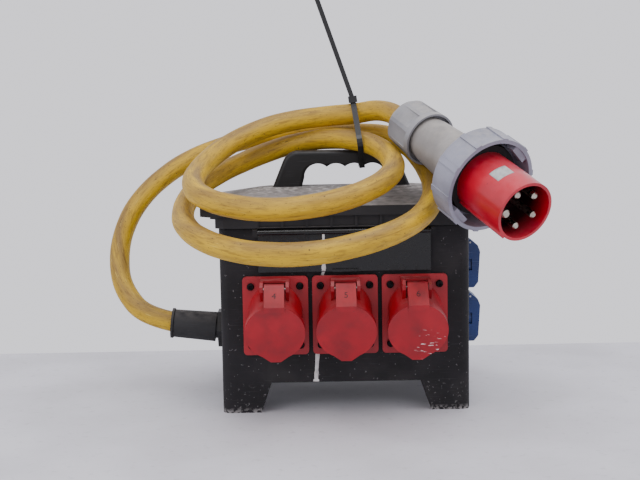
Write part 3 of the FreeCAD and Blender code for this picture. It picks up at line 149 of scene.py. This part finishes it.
def make_cable():
    """The sheath: a ring of the cable's radius at each point of its line, in the plane of the line's
    sideways and upward directions, point(s, t) = line(s) + r(s, t) (side(s) sin t + up(s) cos t).
    The radius swells and shrinks by a fifth of a millimetre along the cable."""
    route = (np.array(CABLE_ROUTE) + (0, DEPTH_SHIFT, 0)) * MM
    line = smooth_line(route)
    ahead = unit(np.gradient(line, axis=0))
    side = unit(np.cross(ahead, (0.0, 0.0, 1.0)))
    up = np.cross(side, ahead)
    steps = np.r_[0.0, np.cumsum(np.linalg.norm(np.diff(line, axis=0), axis=1))]
    turn = np.linspace(0.0, 2 * math.pi, CABLE_AROUND, endpoint=False)
    s, t = np.meshgrid(steps, turn, indexing="ij")
    swell = 0.12 * np.sin(s * 61 + 2 * t) + 0.08 * np.sin(s * 143 - t)
    radius = (CABLE / 2 - 0.2 * MM + swell * MM)[..., None]
    ring = side[:, None] * np.sin(t)[..., None] + up[:, None] * np.cos(t)[..., None]
    points = line[:, None] + radius * ring
    rows, columns = s.shape
    faces = grid_faces(rows, columns, True).tolist()
    faces.append(list(range(columns - 1, -1, -1)))
    faces.append(list(range((rows - 1) * columns, rows * columns)))
    cable = make_piece("cable_sheath", points, faces, "box")
    way = cable.data.attributes.new("sheath_way", "FLOAT_VECTOR", "POINT")
    laid_straight = np.stack([s, CABLE / 2 * np.sin(t), CABLE / 2 * np.cos(t)], axis=-1)
    way.data.foreach_set("vector", laid_straight.astype(np.float32).ravel())
    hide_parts("supply_cable")
    return cable


cable = make_cable()


# ---- nodes for the finishes ------------------------------------------------------------------
def colour(code):
    """The linear colour of an sRGB hex code such as 'c81e2d'."""
    parts = [int(code[i:i + 2], 16) / 255 for i in (0, 2, 4)]
    linear = [part / 12.92 if part <= 0.04045 else ((part + 0.055) / 1.055) ** 2.4 for part in parts]
    return (*linear, 1.0)


def add(tree, kind, values=(), **settings):
    """Adds one node. Settings are its own properties. Values are its inputs, by name or number: each a
    number, a colour, a vector or another node's output."""
    node = tree.nodes.new(kind)
    for name, setting in settings.items():
        setattr(node, name, setting)
    for key, value in dict(values).items():
        if isinstance(value, bpy.types.NodeSocket):
            tree.links.new(value, node.inputs[key])
        else:
            node.inputs[key].default_value = value
    return node


def patches(tree, where, size_mm, least, most, detail=5.0):
    """Share of the surface, 0 to 1, in soft patches about that many millimetres across."""
    cloud = add(tree, "ShaderNodeTexNoise", {"Vector": where, "Scale": 1000 / size_mm, "Detail": detail})
    cut = {"Value": cloud.outputs["Fac"], "From Min": least, "From Max": most}
    return add(tree, "ShaderNodeMapRange", cut).outputs["Result"]


def scratches(tree, where, length_mm, width_mm, turn_deg, least):
    """Share of the surface, 0 to 1, in thin lines of about that length and width, turned about each axis."""
    turned = add(tree, "ShaderNodeMapping", {
        "Vector": where,
        "Rotation": tuple(math.radians(angle) for angle in turn_deg),
        "Scale": (1000 / length_mm, 1000 / width_mm, 1000 / width_mm),
    })
    cloud = add(tree, "ShaderNodeTexNoise", {"Vector": turned.outputs[0], "Scale": 1.0, "Detail": 2.0})
    cut = {"Value": cloud.outputs["Fac"], "From Min": least, "From Max": least + 0.06}
    return add(tree, "ShaderNodeMapRange", cut).outputs["Result"]


def settled(tree, share, least=0.3, most=0.95):
    """That share, kept only where the surface faces up, where dust settles."""
    normal = add(tree, "ShaderNodeNewGeometry").outputs["Normal"]
    upward = add(tree, "ShaderNodeSeparateXYZ", {0: normal}).outputs["Z"]
    level = add(tree, "ShaderNodeMapRange", {"Value": upward, "From Min": least, "From Max": most})
    kept = add(tree, "ShaderNodeMath", {0: share, 1: level.outputs["Result"]}, operation="MULTIPLY")
    return kept.outputs[0]


def covered(tree, layers, below):
    """The colour below, with each layer (share, thickness of cover 0 to 1, colour) laid over it in turn."""
    for share, cover, over in layers:
        amount = add(tree, "ShaderNodeMath", {0: share, 1: cover}, operation="MULTIPLY").outputs[0]
        mixed = add(tree, "ShaderNodeMix", {0: amount, 6: below, 7: over}, data_type="RGBA")
        below = mixed.outputs[2]
    return below


def new_finish(name, **constant):
    """An empty material with its shader, whose constant inputs are given with _ for a space."""
    material = bpy.data.materials.new(name)
    material.use_nodes = True
    tree = material.node_tree
    shader = tree.nodes["Principled BSDF"]
    for key, value in constant.items():
        shader.inputs[key.replace("_", " ")].default_value = value
    return material, tree, shader


def moulded(name, base, shade, roughness, grain_mm=0.8, grain_depth_mm=0.03, patch_mm=35,
            dust=None, dust_cover=0.0, dust_from=0.3, scuff=None, scuff_cover=0.0, specks=None, **constant):
    """A moulded plastic or rubber: two near shades in wide patches, a fine moulded grain, and, where
    given, dust on what faces up, scuff lines in two directions, and small specks."""
    material, tree, shader = new_finish(name, Roughness=roughness, **constant)
    where = add(tree, "ShaderNodeTexCoord").outputs["Object"]
    layers = [(patches(tree, where, patch_mm, 0.38, 0.66), 1.0, colour(shade))]
    if dust:
        fallen = settled(tree, patches(tree, where, 9, 0.28, 0.62), dust_from)
        layers.append((fallen, dust_cover, colour(dust)))
    if scuff:
        layers.append((scratches(tree, where, 45, 0.7, (12, 34, 8), 0.66), scuff_cover, colour(scuff)))
        layers.append((scratches(tree, where, 30, 0.6, (71, 15, 97), 0.68), scuff_cover, colour(scuff)))
    if specks:
        layers.append((patches(tree, where, 2.2, 0.70, 0.74, 2.0), 0.8, colour(specks)))
    tree.links.new(covered(tree, layers, colour(base)), shader.inputs["Base Color"])
    grain = add(tree, "ShaderNodeTexNoise", {"Vector": where, "Scale": 1000 / grain_mm, "Detail": 3.0})
    relief = {"Height": grain.outputs["Fac"], "Distance": grain_depth_mm * MM, "Strength": 0.6}
    tree.links.new(add(tree, "ShaderNodeBump", relief).outputs[0], shader.inputs["Normal"])
    return material


def plated(name, base, shade, roughness, **constant):
    """A metal with a plated or rolled surface: two near shades in small patches and fine rubbed lines."""
    material, tree, shader = new_finish(name, Metallic=1.0, **constant)
    where = add(tree, "ShaderNodeTexCoord").outputs["Object"]
    layers = [(patches(tree, where, 6, 0.4, 0.65), 1.0, colour(shade)),
              (scratches(tree, where, 12, 0.3, (20, 40, 65), 0.64), 0.5, colour(shade))]
    tree.links.new(covered(tree, layers, colour(base)), shader.inputs["Base Color"])
    rubbed = add(tree, "ShaderNodeMapRange", {
        "Value": patches(tree, where, 4, 0.3, 0.7), "To Min": roughness, "To Max": roughness + 0.15})
    tree.links.new(rubbed.outputs["Result"], shader.inputs["Roughness"])
    return material


def make_sheath_finish():
    """Ochre rubber sheath: grimy in patches along its top, streaked and nicked along its length."""
    material, tree, shader = new_finish("rubber_cable_sheath", Roughness=0.55)
    where = add(tree, "ShaderNodeAttribute", attribute_name="sheath_way").outputs["Vector"]
    stretched = add(tree, "ShaderNodeMapping", {"Vector": where, "Scale": (0.16, 1.0, 1.0)}).outputs[0]
    top = add(tree, "ShaderNodeSeparateXYZ", {0: where}).outputs["Z"]
    upper = add(tree, "ShaderNodeMapRange", {"Value": top, "From Min": -2 * MM, "From Max": 11 * MM})
    grime = add(tree, "ShaderNodeMath", {
        0: patches(tree, stretched, 14, 0.34, 0.6), 1: upper.outputs["Result"]}, operation="MULTIPLY")
    layers = [
        (patches(tree, stretched, 10, 0.42, 0.64), 0.8, colour("a88205")),
        (grime.outputs[0], 0.7, colour("6f5436")),
        (patches(tree, stretched, 3.2, 0.54, 0.66), 0.45, colour("684708")),
        (patches(tree, stretched, 1.3, 0.56, 0.7), 0.5, colour("5c430f")),
        (scratches(tree, where, 90, 0.9, (0, 0, 0), 0.66), 0.55, colour("5a4020")),
        (patches(tree, where, 2.2, 0.67, 0.71, 2.0), 0.85, colour("33230f")),
        (scratches(tree, where, 18, 0.9, (4, 12, 24), 0.68), 0.6, colour("e0c65a")),
    ]
    tree.links.new(covered(tree, layers, colour("c9a004")), shader.inputs["Base Color"])
    lumps = add(tree, "ShaderNodeTexNoise", {"Vector": stretched, "Scale": 1000 / 4, "Detail": 5.0})
    relief = {"Height": lumps.outputs["Fac"], "Distance": 0.35 * MM, "Strength": 0.7}
    tree.links.new(add(tree, "ShaderNodeBump", relief).outputs[0], shader.inputs["Normal"])
    return material


def make_body_finish():
    """Black moulded rubber: matt, scuffed grey in lines, and rubbed white along the bottom of its feet."""
    material = moulded("black_rubber_body", "100e11", "1a171b", 0.62, grain_mm=1.2, grain_depth_mm=0.06,
                       dust="77706a", dust_cover=0.6, scuff="454245", scuff_cover=0.35,
                       Specular_IOR_Level=0.3)
    tree = material.node_tree
    shader = tree.nodes["Principled BSDF"]
    where = add(tree, "ShaderNodeTexCoord").outputs["Object"]
    height = add(tree, "ShaderNodeSeparateXYZ", {0: where}).outputs["Z"]
    low = add(tree, "ShaderNodeMapRange", {"Value": height, "From Min": 7 * MM, "From Max": 0.5 * MM})
    foot = add(tree, "ShaderNodeMapRange", {"Value": height, "From Min": 42 * MM, "From Max": 8 * MM})
    rubbed = add(tree, "ShaderNodeMath", {
        0: patches(tree, where, 5, 0.46, 0.56), 1: low.outputs["Result"]}, operation="MULTIPLY")
    knocked = add(tree, "ShaderNodeMath", {
        0: patches(tree, where, 4, 0.62, 0.68), 1: foot.outputs["Result"]}, operation="MULTIPLY")
    below = shader.inputs["Base Color"].links[0].from_socket
    layers = [(patches(tree, where, 60, 0.52, 0.8), 0.22, colour("55514f")),
              (patches(tree, where, 3, 0.735, 0.76, 1.0), 0.7, colour("6c696b")),
              (knocked.outputs[0], 0.5, colour("8c8989")),
              (rubbed.outputs[0], 0.65, colour("a5a1a0"))]
    tree.links.new(covered(tree, layers, below), shader.inputs["Base Color"])
    return material


def make_window_finish():
    """Smoked clear plastic: see-through and dark, hazy in patches."""
    material, tree, shader = new_finish(
        "smoked_polycarbonate", IOR=1.58, Transmission_Weight=0.5, Specular_IOR_Level=0.2)
    where = add(tree, "ShaderNodeTexCoord").outputs["Object"]
    layers = [(settled(tree, patches(tree, where, 8, 0.4, 0.7)), 0.5, colour("5a5653")),
              (scratches(tree, where, 30, 0.5, (0, 10, 4), 0.69), 0.3, colour("4a4744"))]
    tree.links.new(covered(tree, layers, colour("0d0c0d")), shader.inputs["Base Color"])
    haze = add(tree, "ShaderNodeMapRange", {
        "Value": patches(tree, where, 12, 0.35, 0.65), "To Min": 0.12, "To Max": 0.35})
    tree.links.new(haze.outputs["Result"], shader.inputs["Roughness"])
    return material


def make_lid_finish(name, rub_middle=None):
    """Signal red lid with dark rubber marks all over it and, where given, white rub marks in a small patch
    round rub_middle."""
    material = moulded(name, "a5031a", "920417", 0.45, grain_depth_mm=0.015, dust="8a4b4d",
                       dust_cover=0.4, dust_from=0.5)
    tree = material.node_tree
    shader = tree.nodes["Principled BSDF"]
    where = add(tree, "ShaderNodeTexCoord").outputs["Object"]
    below = shader.inputs["Base Color"].links[0].from_socket
    layers = [(patches(tree, where, 20, 0.48, 0.72), 0.5, colour("5e141c")),
              (patches(tree, where, 2.4, 0.7, 0.75, 2.0), 0.6, colour("5b1820"))]
    if rub_middle:
        away = add(tree, "ShaderNodeVectorMath", {0: where, 1: rub_middle}, operation="DISTANCE")
        near = add(tree, "ShaderNodeMapRange", {
            "Value": away.outputs["Value"], "From Min": 24 * MM, "From Max": 12 * MM})
        stroke = scratches(tree, where, 9, 2.6, (0, 24, 0), 0.65)
        rubbed = add(tree, "ShaderNodeMath", {0: stroke, 1: near.outputs["Result"]}, operation="MULTIPLY")
        layers.append((rubbed.outputs[0], 0.85, colour("efdcda")))
    tree.links.new(covered(tree, layers, below), shader.inputs["Base Color"])
    return material


def make_hood_finish():
    """Black rubber hood under years of dust, its top greyed further by painted sky reflection, and lightest
    along its ridge, which is scratched and carries a painted highlight nearly white.
    """
    # the up-facing grey here is dust together with painted sky reflection at a grazing angle
    material = moulded("dusty_rubber_hood_painted_reflection", "100e11", "1a181b", 0.68, grain_mm=1.4, grain_depth_mm=0.06,
                       patch_mm=60, dust="86807e", dust_cover=0.75)
    tree = material.node_tree
    shader = tree.nodes["Principled BSDF"]
    where = add(tree, "ShaderNodeTexCoord").outputs["Object"]
    below = shader.inputs["Base Color"].links[0].from_socket
    # dust and painted sky reflection: wide grey patches on what faces up
    dust_and_sky_reflection = settled(tree, patches(tree, where, 70, 0.2, 0.6))
    height = add(tree, "ShaderNodeSeparateXYZ", {0: where}).outputs["Z"]
    # painted highlight with wear: the rim along the ridge is lightened nearly white
    ridge = add(tree, "ShaderNodeMapRange", {"Value": height, "From Min": 264 * MM, "From Max": 272 * MM})
    ridge_highlight_and_wear = add(tree, "ShaderNodeMath", {
        0: patches(tree, where, 7, 0.5, 0.62), 1: ridge.outputs["Result"]}, operation="MULTIPLY")
    drawn = settled(tree, scratches(tree, where, 60, 0.9, (0, 0, 17), 0.66), 0.6)
    layers = [(dust_and_sky_reflection, 0.45, colour("8f8986")), (drawn, 0.5, colour("b5b1ae")),
              (settled(tree, ridge_highlight_and_wear.outputs[0], 0.6), 0.55, colour("c6c3c0"))]
    tree.links.new(covered(tree, layers, below), shader.inputs["Base Color"])
    return material


# the plug's axis starts at its cable end; its upward direction sets where the label sits round it
PLUG_START = Vector((0.074, -0.019, 0.361))
PLUG_AXIS = Vector((0.4546, -0.8019, -0.3876)).normalized()
PLUG_UP = Vector((0.705, 0.060, 0.705))


def along_plug(tree, where):
    """Distance along the plug's axis from its cable end, and distance out from that axis, both in metres."""
    reach = add(tree, "ShaderNodeVectorMath", {0: where, 1: PLUG_START}, operation="SUBTRACT").outputs[0]
    along = add(tree, "ShaderNodeVectorMath", {0: reach, 1: PLUG_AXIS}, operation="DOT_PRODUCT")
    across = add(tree, "ShaderNodeVectorMath", {0: reach, 1: PLUG_AXIS}, operation="CROSS_PRODUCT")
    out = add(tree, "ShaderNodeVectorMath", {0: across.outputs[0]}, operation="LENGTH")
    return along.outputs["Value"], out.outputs["Value"]


def make_shroud_finish():
    """Glossy red polyamide outside; within its wall, painted shade darkens it nearly black towards the floor
    that holds the pins.
    """
    material = moulded("glossy_red_polyamide", "c00a28", "a80822", 0.3, grain_depth_mm=0.015,
                       dust="c8707c", dust_cover=0.2, specks="7d1524", Coat_Weight=0.25, Coat_Roughness=0.25)
    tree = material.node_tree
    shader = tree.nodes["Principled BSDF"]
    where = add(tree, "ShaderNodeTexCoord").outputs["Object"]
    along, out = along_plug(tree, where)
    # painted shade: within the shroud's wall the red goes nearly black towards the floor that holds the pins
    deep = add(tree, "ShaderNodeMapRange", {"Value": along, "From Min": 263 * MM, "From Max": 236 * MM})
    inner = add(tree, "ShaderNodeMapRange", {"Value": out, "From Min": 34.2 * MM, "From Max": 33.8 * MM})
    inside = add(tree, "ShaderNodeMath", {
        0: deep.outputs["Result"], 1: inner.outputs["Result"]}, operation="MULTIPLY").outputs[0]
    layers = [(inside, 0.96, colour("12070a"))]
    below = shader.inputs["Base Color"].links[0].from_socket
    tree.links.new(covered(tree, layers, below), shader.inputs["Base Color"])
    return material


# ---- finishes --------------------------------------------------------------------------------
# Each is the real material and how its surface was made; the comment says what that gives the eye.
FINISHES = {
    # black moulded rubber, matt and scuffed
    "body_plastic": make_body_finish(),
    # black glass-filled polyamide, satin, dusty on what faces up and scuffed
    "handle_plastic": moulded("black_polyamide_handle", "0c0b0d", "131215", 0.45, grain_mm=1.0,
                              grain_depth_mm=0.04, dust="5b5654", dust_cover=0.35,
                              scuff="4a484a", scuff_cover=0.25, Specular_IOR_Level=0.35),
    # black foam rubber, dull
    "seal_rubber": moulded("epdm_seal", "0f0e10", "19181a", 0.8, grain_mm=0.6),
    # black oxidised steel, half matt
    "black_screw": plated("black_oxide_steel", "1b1a1c", "2a282a", 0.42),
    # bright rolled steel
    "bright_steel": plated("bright_steel", "a9a8a6", "8b8987", 0.28),
    # smoked clear plastic
    "smoked_window": make_window_finish(),
    # zinc plated steel strip, with a faint yellow cast
    "zinc_rail": plated("zinc_plated_steel", "b5b3a8", "97958a", 0.35),
    # light grey thermoplastic, smooth
    "breaker_grey": moulded("light_grey_thermoplastic", "b9bbb8", "a9aba8", 0.5, dust="8a857c",
                            dust_cover=0.4),
    # dark levers, smooth
    "lever_plastic": moulded("black_lever_plastic", "1a1b1e", "232427", 0.4),
    # blue-grey test button
    "test_button": moulded("grey_button_plastic", "7f8f9c", "70808d", 0.4),
    # black polyamide gland
    "gland_plastic": moulded("black_polyamide_gland", "19181a", "232224", 0.45, scuff="5a5858",
                             scuff_cover=0.3),
    # black soft rubber, dull
    "sleeve_rubber": moulded("black_soft_rubber", "1c1b1d", "2a292b", 0.72, grain_mm=0.9,
                             dust="6a6461", dust_cover=0.45, scuff="5c595a", scuff_cover=0.3),
    "cable_sheath": make_sheath_finish(),
    # black nylon, glossy
    "tie_nylon": moulded("black_nylon", "0e0e10", "151517", 0.25, grain_mm=0.5, grain_depth_mm=0.01),
    # light grey moulded plastic, dusty, with dark lines rubbed into it
    "plug_nut_grey": moulded("light_grey_polyamide", "8b8b90", "77777c", 0.5, dust="b4aca2",
                             dust_cover=0.4, scuff="4c4a4c", scuff_cover=0.5),
    # beige-grey moulded plastic, smooth
    "plug_body_grey": moulded("beige_grey_polyamide", "928e8c", "7d7977", 0.46, dust="b9b0a3",
                              dust_cover=0.3, scuff="5a5654", scuff_cover=0.35),
    # bluish grey moulded plastic
    "plug_ring_grey": moulded("blue_grey_polyamide", "9091a0", "7c7d8b", 0.48, dust="b2aca6",
                              dust_cover=0.35, scuff="55545a", scuff_cover=0.4),
    # signal red polyamide, semi-gloss, with dusty tops
    "outlet_red": moulded("signal_red_polyamide", "a5031a", "8d0415", 0.42, grain_depth_mm=0.015,
                          dust="9c6f6d", dust_cover=0.4, dust_from=0.62),
    # black contact carrier
    "insert_black": moulded("black_thermoset", "151416", "201f21", 0.5),
    # nickel plated brass pins, bright
    "nickel_pins": plated("nickel_plated_brass", "c2bcb0", "a29c90", 0.22),
    # spring steel wire
    "spring_steel": plated("spring_steel", "8d8c8c", "6f6e6e", 0.3),
    # mid blue polyamide, semi-gloss
    "side_outlet_blue": moulded("mid_blue_polyamide", "062f70", "05275f", 0.45, dust="6f84a0",
                                dust_cover=0.4, scuff="7d93b3", scuff_cover=0.25),
}

# The hood lies flat under the dust that falls on it, greyed further by painted sky reflection, and its ridge
# is scratched and painted bright as a highlight.
HOOD = make_hood_finish()
# The shroud of the plug is the glossiest red piece.
SHROUD = make_shroud_finish()
# The third lid has been rubbed against something white.
RUBBED_LID = make_lid_finish("rubbed_red_polyamide", (0.1, -0.132, 0.092))
PLAIN_LID = make_lid_finish("marked_red_polyamide")
OWN_FINISH = {"hood": HOOD, "plug_shroud": SHROUD, "outlet_1_lid": PLAIN_LID,
              "outlet_2_lid": PLAIN_LID, "outlet_3_lid": RUBBED_LID}


def dress(piece, finish):
    """Puts one finish on the whole piece."""
    if piece.material_slots:
        for place in piece.material_slots:
            place.material = finish
    else:
        piece.data.materials.append(finish)


for part in frame["record"]["subparts"]:
    node = part["node"]
    dress(frame["nodes"][node], OWN_FINISH.get(node, FINISHES[part["material_slot"]]))
dress(cable, FINISHES["cable_sheath"])


# ---- painted and printed pieces --------------------------------------------------------------
RUN_ROWS = 60  # rings down a run of paint
RUN_AROUND = 16  # points round each ring
RUN_HALF = 0.35  # half the thickness of a run, in mm


def make_run(name, spine, face, body, finish):
    """A run of paint down an upright face: at each height its middle x and its width follow the spine's
    rows (x, z, width) in millimetres. Its section is a flat ellipse, half of it in the face,
    point(s, t) = (x(s) + w(s)/2 cos t, face + RUN_HALF sin t, z(s))."""
    rows = np.array(spine, float)
    s = np.linspace(0, 1, RUN_ROWS)
    knots = np.linspace(0, 1, len(rows))
    x, z, wide = (np.interp(s, knots, rows[:, k]) for k in range(3))
    wide = wide * (1 + 0.12 * np.sin(s * 37) + 0.06 * np.sin(s * 83))
    t = np.linspace(0, 2 * math.pi, RUN_AROUND, endpoint=False)
    points = np.stack([x[:, None] + wide[:, None] / 2 * np.cos(t),
                       face / MM + RUN_HALF * np.sin(t) + 0 * x[:, None],
                       z[:, None] + 0 * t], axis=-1) * MM
    count = RUN_ROWS * RUN_AROUND
    faces = grid_faces(RUN_ROWS, RUN_AROUND, True)[:, ::-1].tolist()
    faces.append(list(range(RUN_AROUND)))
    faces.append(list(range(count - 1, count - RUN_AROUND - 1, -1)))
    run = make_piece(name, points, faces, body)
    dress(run, finish)


LABEL_ALONG = (220, 238)  # mm along the plug's axis
LABEL_TURN = (49, 84)  # degrees round it from its upward direction
LABEL_RADII = (35.75, 35.2)  # mm, of its outer sheet and of the inner one inside the shroud's wall


def make_label(finish):
    """A blank label on the plug's shroud: a patch of a cylinder, on two sheets joined round the rim,
    point(s, t) = start + axis s + r (up cos t + side sin t)."""
    side = PLUG_AXIS.cross(PLUG_UP)
    side.normalize()
    up = side.cross(PLUG_AXIS)
    s = np.linspace(*LABEL_ALONG, 10)
    t = np.radians(np.linspace(*LABEL_TURN, 16))
    start, axis, up, side = (np.array(v) for v in (PLUG_START, PLUG_AXIS, up, side))
    grid_s, grid_t = np.meshgrid(s, t, indexing="ij")
    sheets = []
    out = up * np.cos(grid_t)[..., None] + side * np.sin(grid_t)[..., None]
    for radius in LABEL_RADII:
        sheets.append(start + (axis * grid_s[..., None] + out * radius) * MM)
    rows, columns = grid_s.shape
    top = grid_faces(rows, columns, False)
    count = rows * columns
    number = np.arange(count).reshape(rows, columns)
    rim = np.r_[number[0], number[1:, -1], number[-1, -2::-1], number[-2:0:-1, 0]]
    after = np.roll(rim, -1)
    wall = np.stack([rim, after, after + count, rim + count], axis=-1)
    faces = np.r_[top, top[:, ::-1] + count, wall[:, ::-1]].tolist()
    label = make_piece("plug_blank_label", np.stack(sheets), faces, "box")
    dress(label, finish)


NUMERAL_HEIGHT = 11 * MM
OUTLET_PITCH = 0.085
ARM_MIDDLE = (-0.1432, 0.155)  # y and z of the middle of a lid's arm
ARM_OUT = Vector((0.0, -0.792, 0.611)).normalized()


def make_numeral(text, outlet, finish):
    """A printed outlet number on the sloped arm of that outlet's lid, 0.12 mm thick, placed as a mesh."""
    words = bpy.data.curves.new("numeral", "FONT")
    words.body = text
    words.size = NUMERAL_HEIGHT
    words.extrude = 0.06 * MM
    words.align_x = "CENTER"
    words.align_y = "CENTER"
    holder = bpy.data.objects.new("numeral", words)
    scene.collection.objects.link(holder)
    bpy.context.view_layer.update()
    mesh = bpy.data.meshes.new_from_object(holder)
    bpy.data.objects.remove(holder)
    right = Vector((1.0, 0.0, 0.0))
    turn = Matrix((right, ARM_OUT.cross(right), ARM_OUT)).transposed().to_4x4()
    middle = Vector(((outlet - 2) * OUTLET_PITCH, *ARM_MIDDLE)) + ARM_OUT * 0.08 * MM
    mesh.transform(Matrix.Translation(middle) @ turn)
    mesh.update()
    numeral = bpy.data.objects.new(f"outlet_{outlet}_numeral", mesh)
    scene.collection.objects.link(numeral)
    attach(numeral, f"outlet_{outlet}_lid")
    dress(numeral, finish)


PAINT = moulded("dried_white_paint", "dcdad8", "b7b4b3", 0.6, grain_mm=1.5, patch_mm=9, specks="77726f")
BLANK_LABEL = moulded("blank_label_film", "b4b6b6", "9c9e9e", 0.5, patch_mm=6)
INK = moulded("black_ink", "26090d", "3d1218", 0.6, patch_mm=2)
BODY_FACE = -0.085  # y of the body's front face
FLAP_FACE = -0.091  # y of the window flap's front face
LOW_SPINE = ((-25.5, 175.5, 4.5), (-27, 172, 3.2), (-31, 120, 4), (-36, 57, 4.6), (-37, 42, 4.8),
             (-37, 38.3, 8.5))
FLAP_SPINE = ((-25.2, 227, 2.2), (-25.2, 215, 3.2), (-25.3, 190, 4.4), (-25.5, 177, 5.2))
make_run("paint_run_low", LOW_SPINE, BODY_FACE, "box", PAINT)
make_run("paint_run_flap", FLAP_SPINE, FLAP_FACE, "window_flap", PAINT)
make_label(BLANK_LABEL)
for number, outlet in (("4", 1), ("5", 2), ("6", 3)):
    make_numeral(number, outlet, INK)


# ---- floor and light -------------------------------------------------------------------------
FLOOR_REACH = 3.0
FLOOR_END = 0.293


def make_floor():
    """A flat painted floor that ends behind the box, pale and softly marked."""
    corners = ((-FLOOR_REACH, -FLOOR_REACH, 0.0), (FLOOR_REACH, -FLOOR_REACH, 0.0),
               (FLOOR_REACH, FLOOR_END, 0.0), (-FLOOR_REACH, FLOOR_END, 0.0))
    mesh = bpy.data.meshes.new("floor")
    mesh.from_pydata(corners, [], [(0, 1, 2, 3)])
    floor = bpy.data.objects.new("floor", mesh)
    scene.collection.objects.link(floor)
    material, tree, shader = new_finish("painted_floor", Roughness=0.6)
    where = add(tree, "ShaderNodeTexCoord").outputs["Object"]
    layers = [(patches(tree, where, 160, 0.4, 0.65), 0.5, colour("b9b7bd")),
              (patches(tree, where, 12, 0.6, 0.72), 0.3, colour("9c9a9f"))]
    tree.links.new(covered(tree, layers, colour("d2d1d8")), shader.inputs["Base Color"])
    mesh.materials.append(material)


def make_light(name, place, target, width, height, power):
    """A soft rectangular lamp that faces its target."""
    lamp = bpy.data.lights.new(name, "AREA")
    lamp.shape = "RECTANGLE"
    lamp.size = width
    lamp.size_y = height
    lamp.energy = power
    holder = bpy.data.objects.new(name, lamp)
    holder.location = place
    holder.rotation_euler = (Vector(target) - Vector(place)).to_track_quat("-Z", "Y").to_euler()
    scene.collection.objects.link(holder)


make_floor()
world = bpy.data.worlds.new("studio")
world.use_nodes = True
scene.world = world
background = world.node_tree.nodes["Background"]
background.inputs["Color"].default_value = colour("d6d5db")
background.inputs["Strength"].default_value = 1.7
make_light("over_box", (0.3, -0.5, 1.9), (0.0, 0.0, 0.15), 1.8, 1.2, 20.0)
make_light("front_left", (-1.6, -1.8, 1.3), (0.0, 0.0, 0.2), 1.2, 1.2, 14.0)
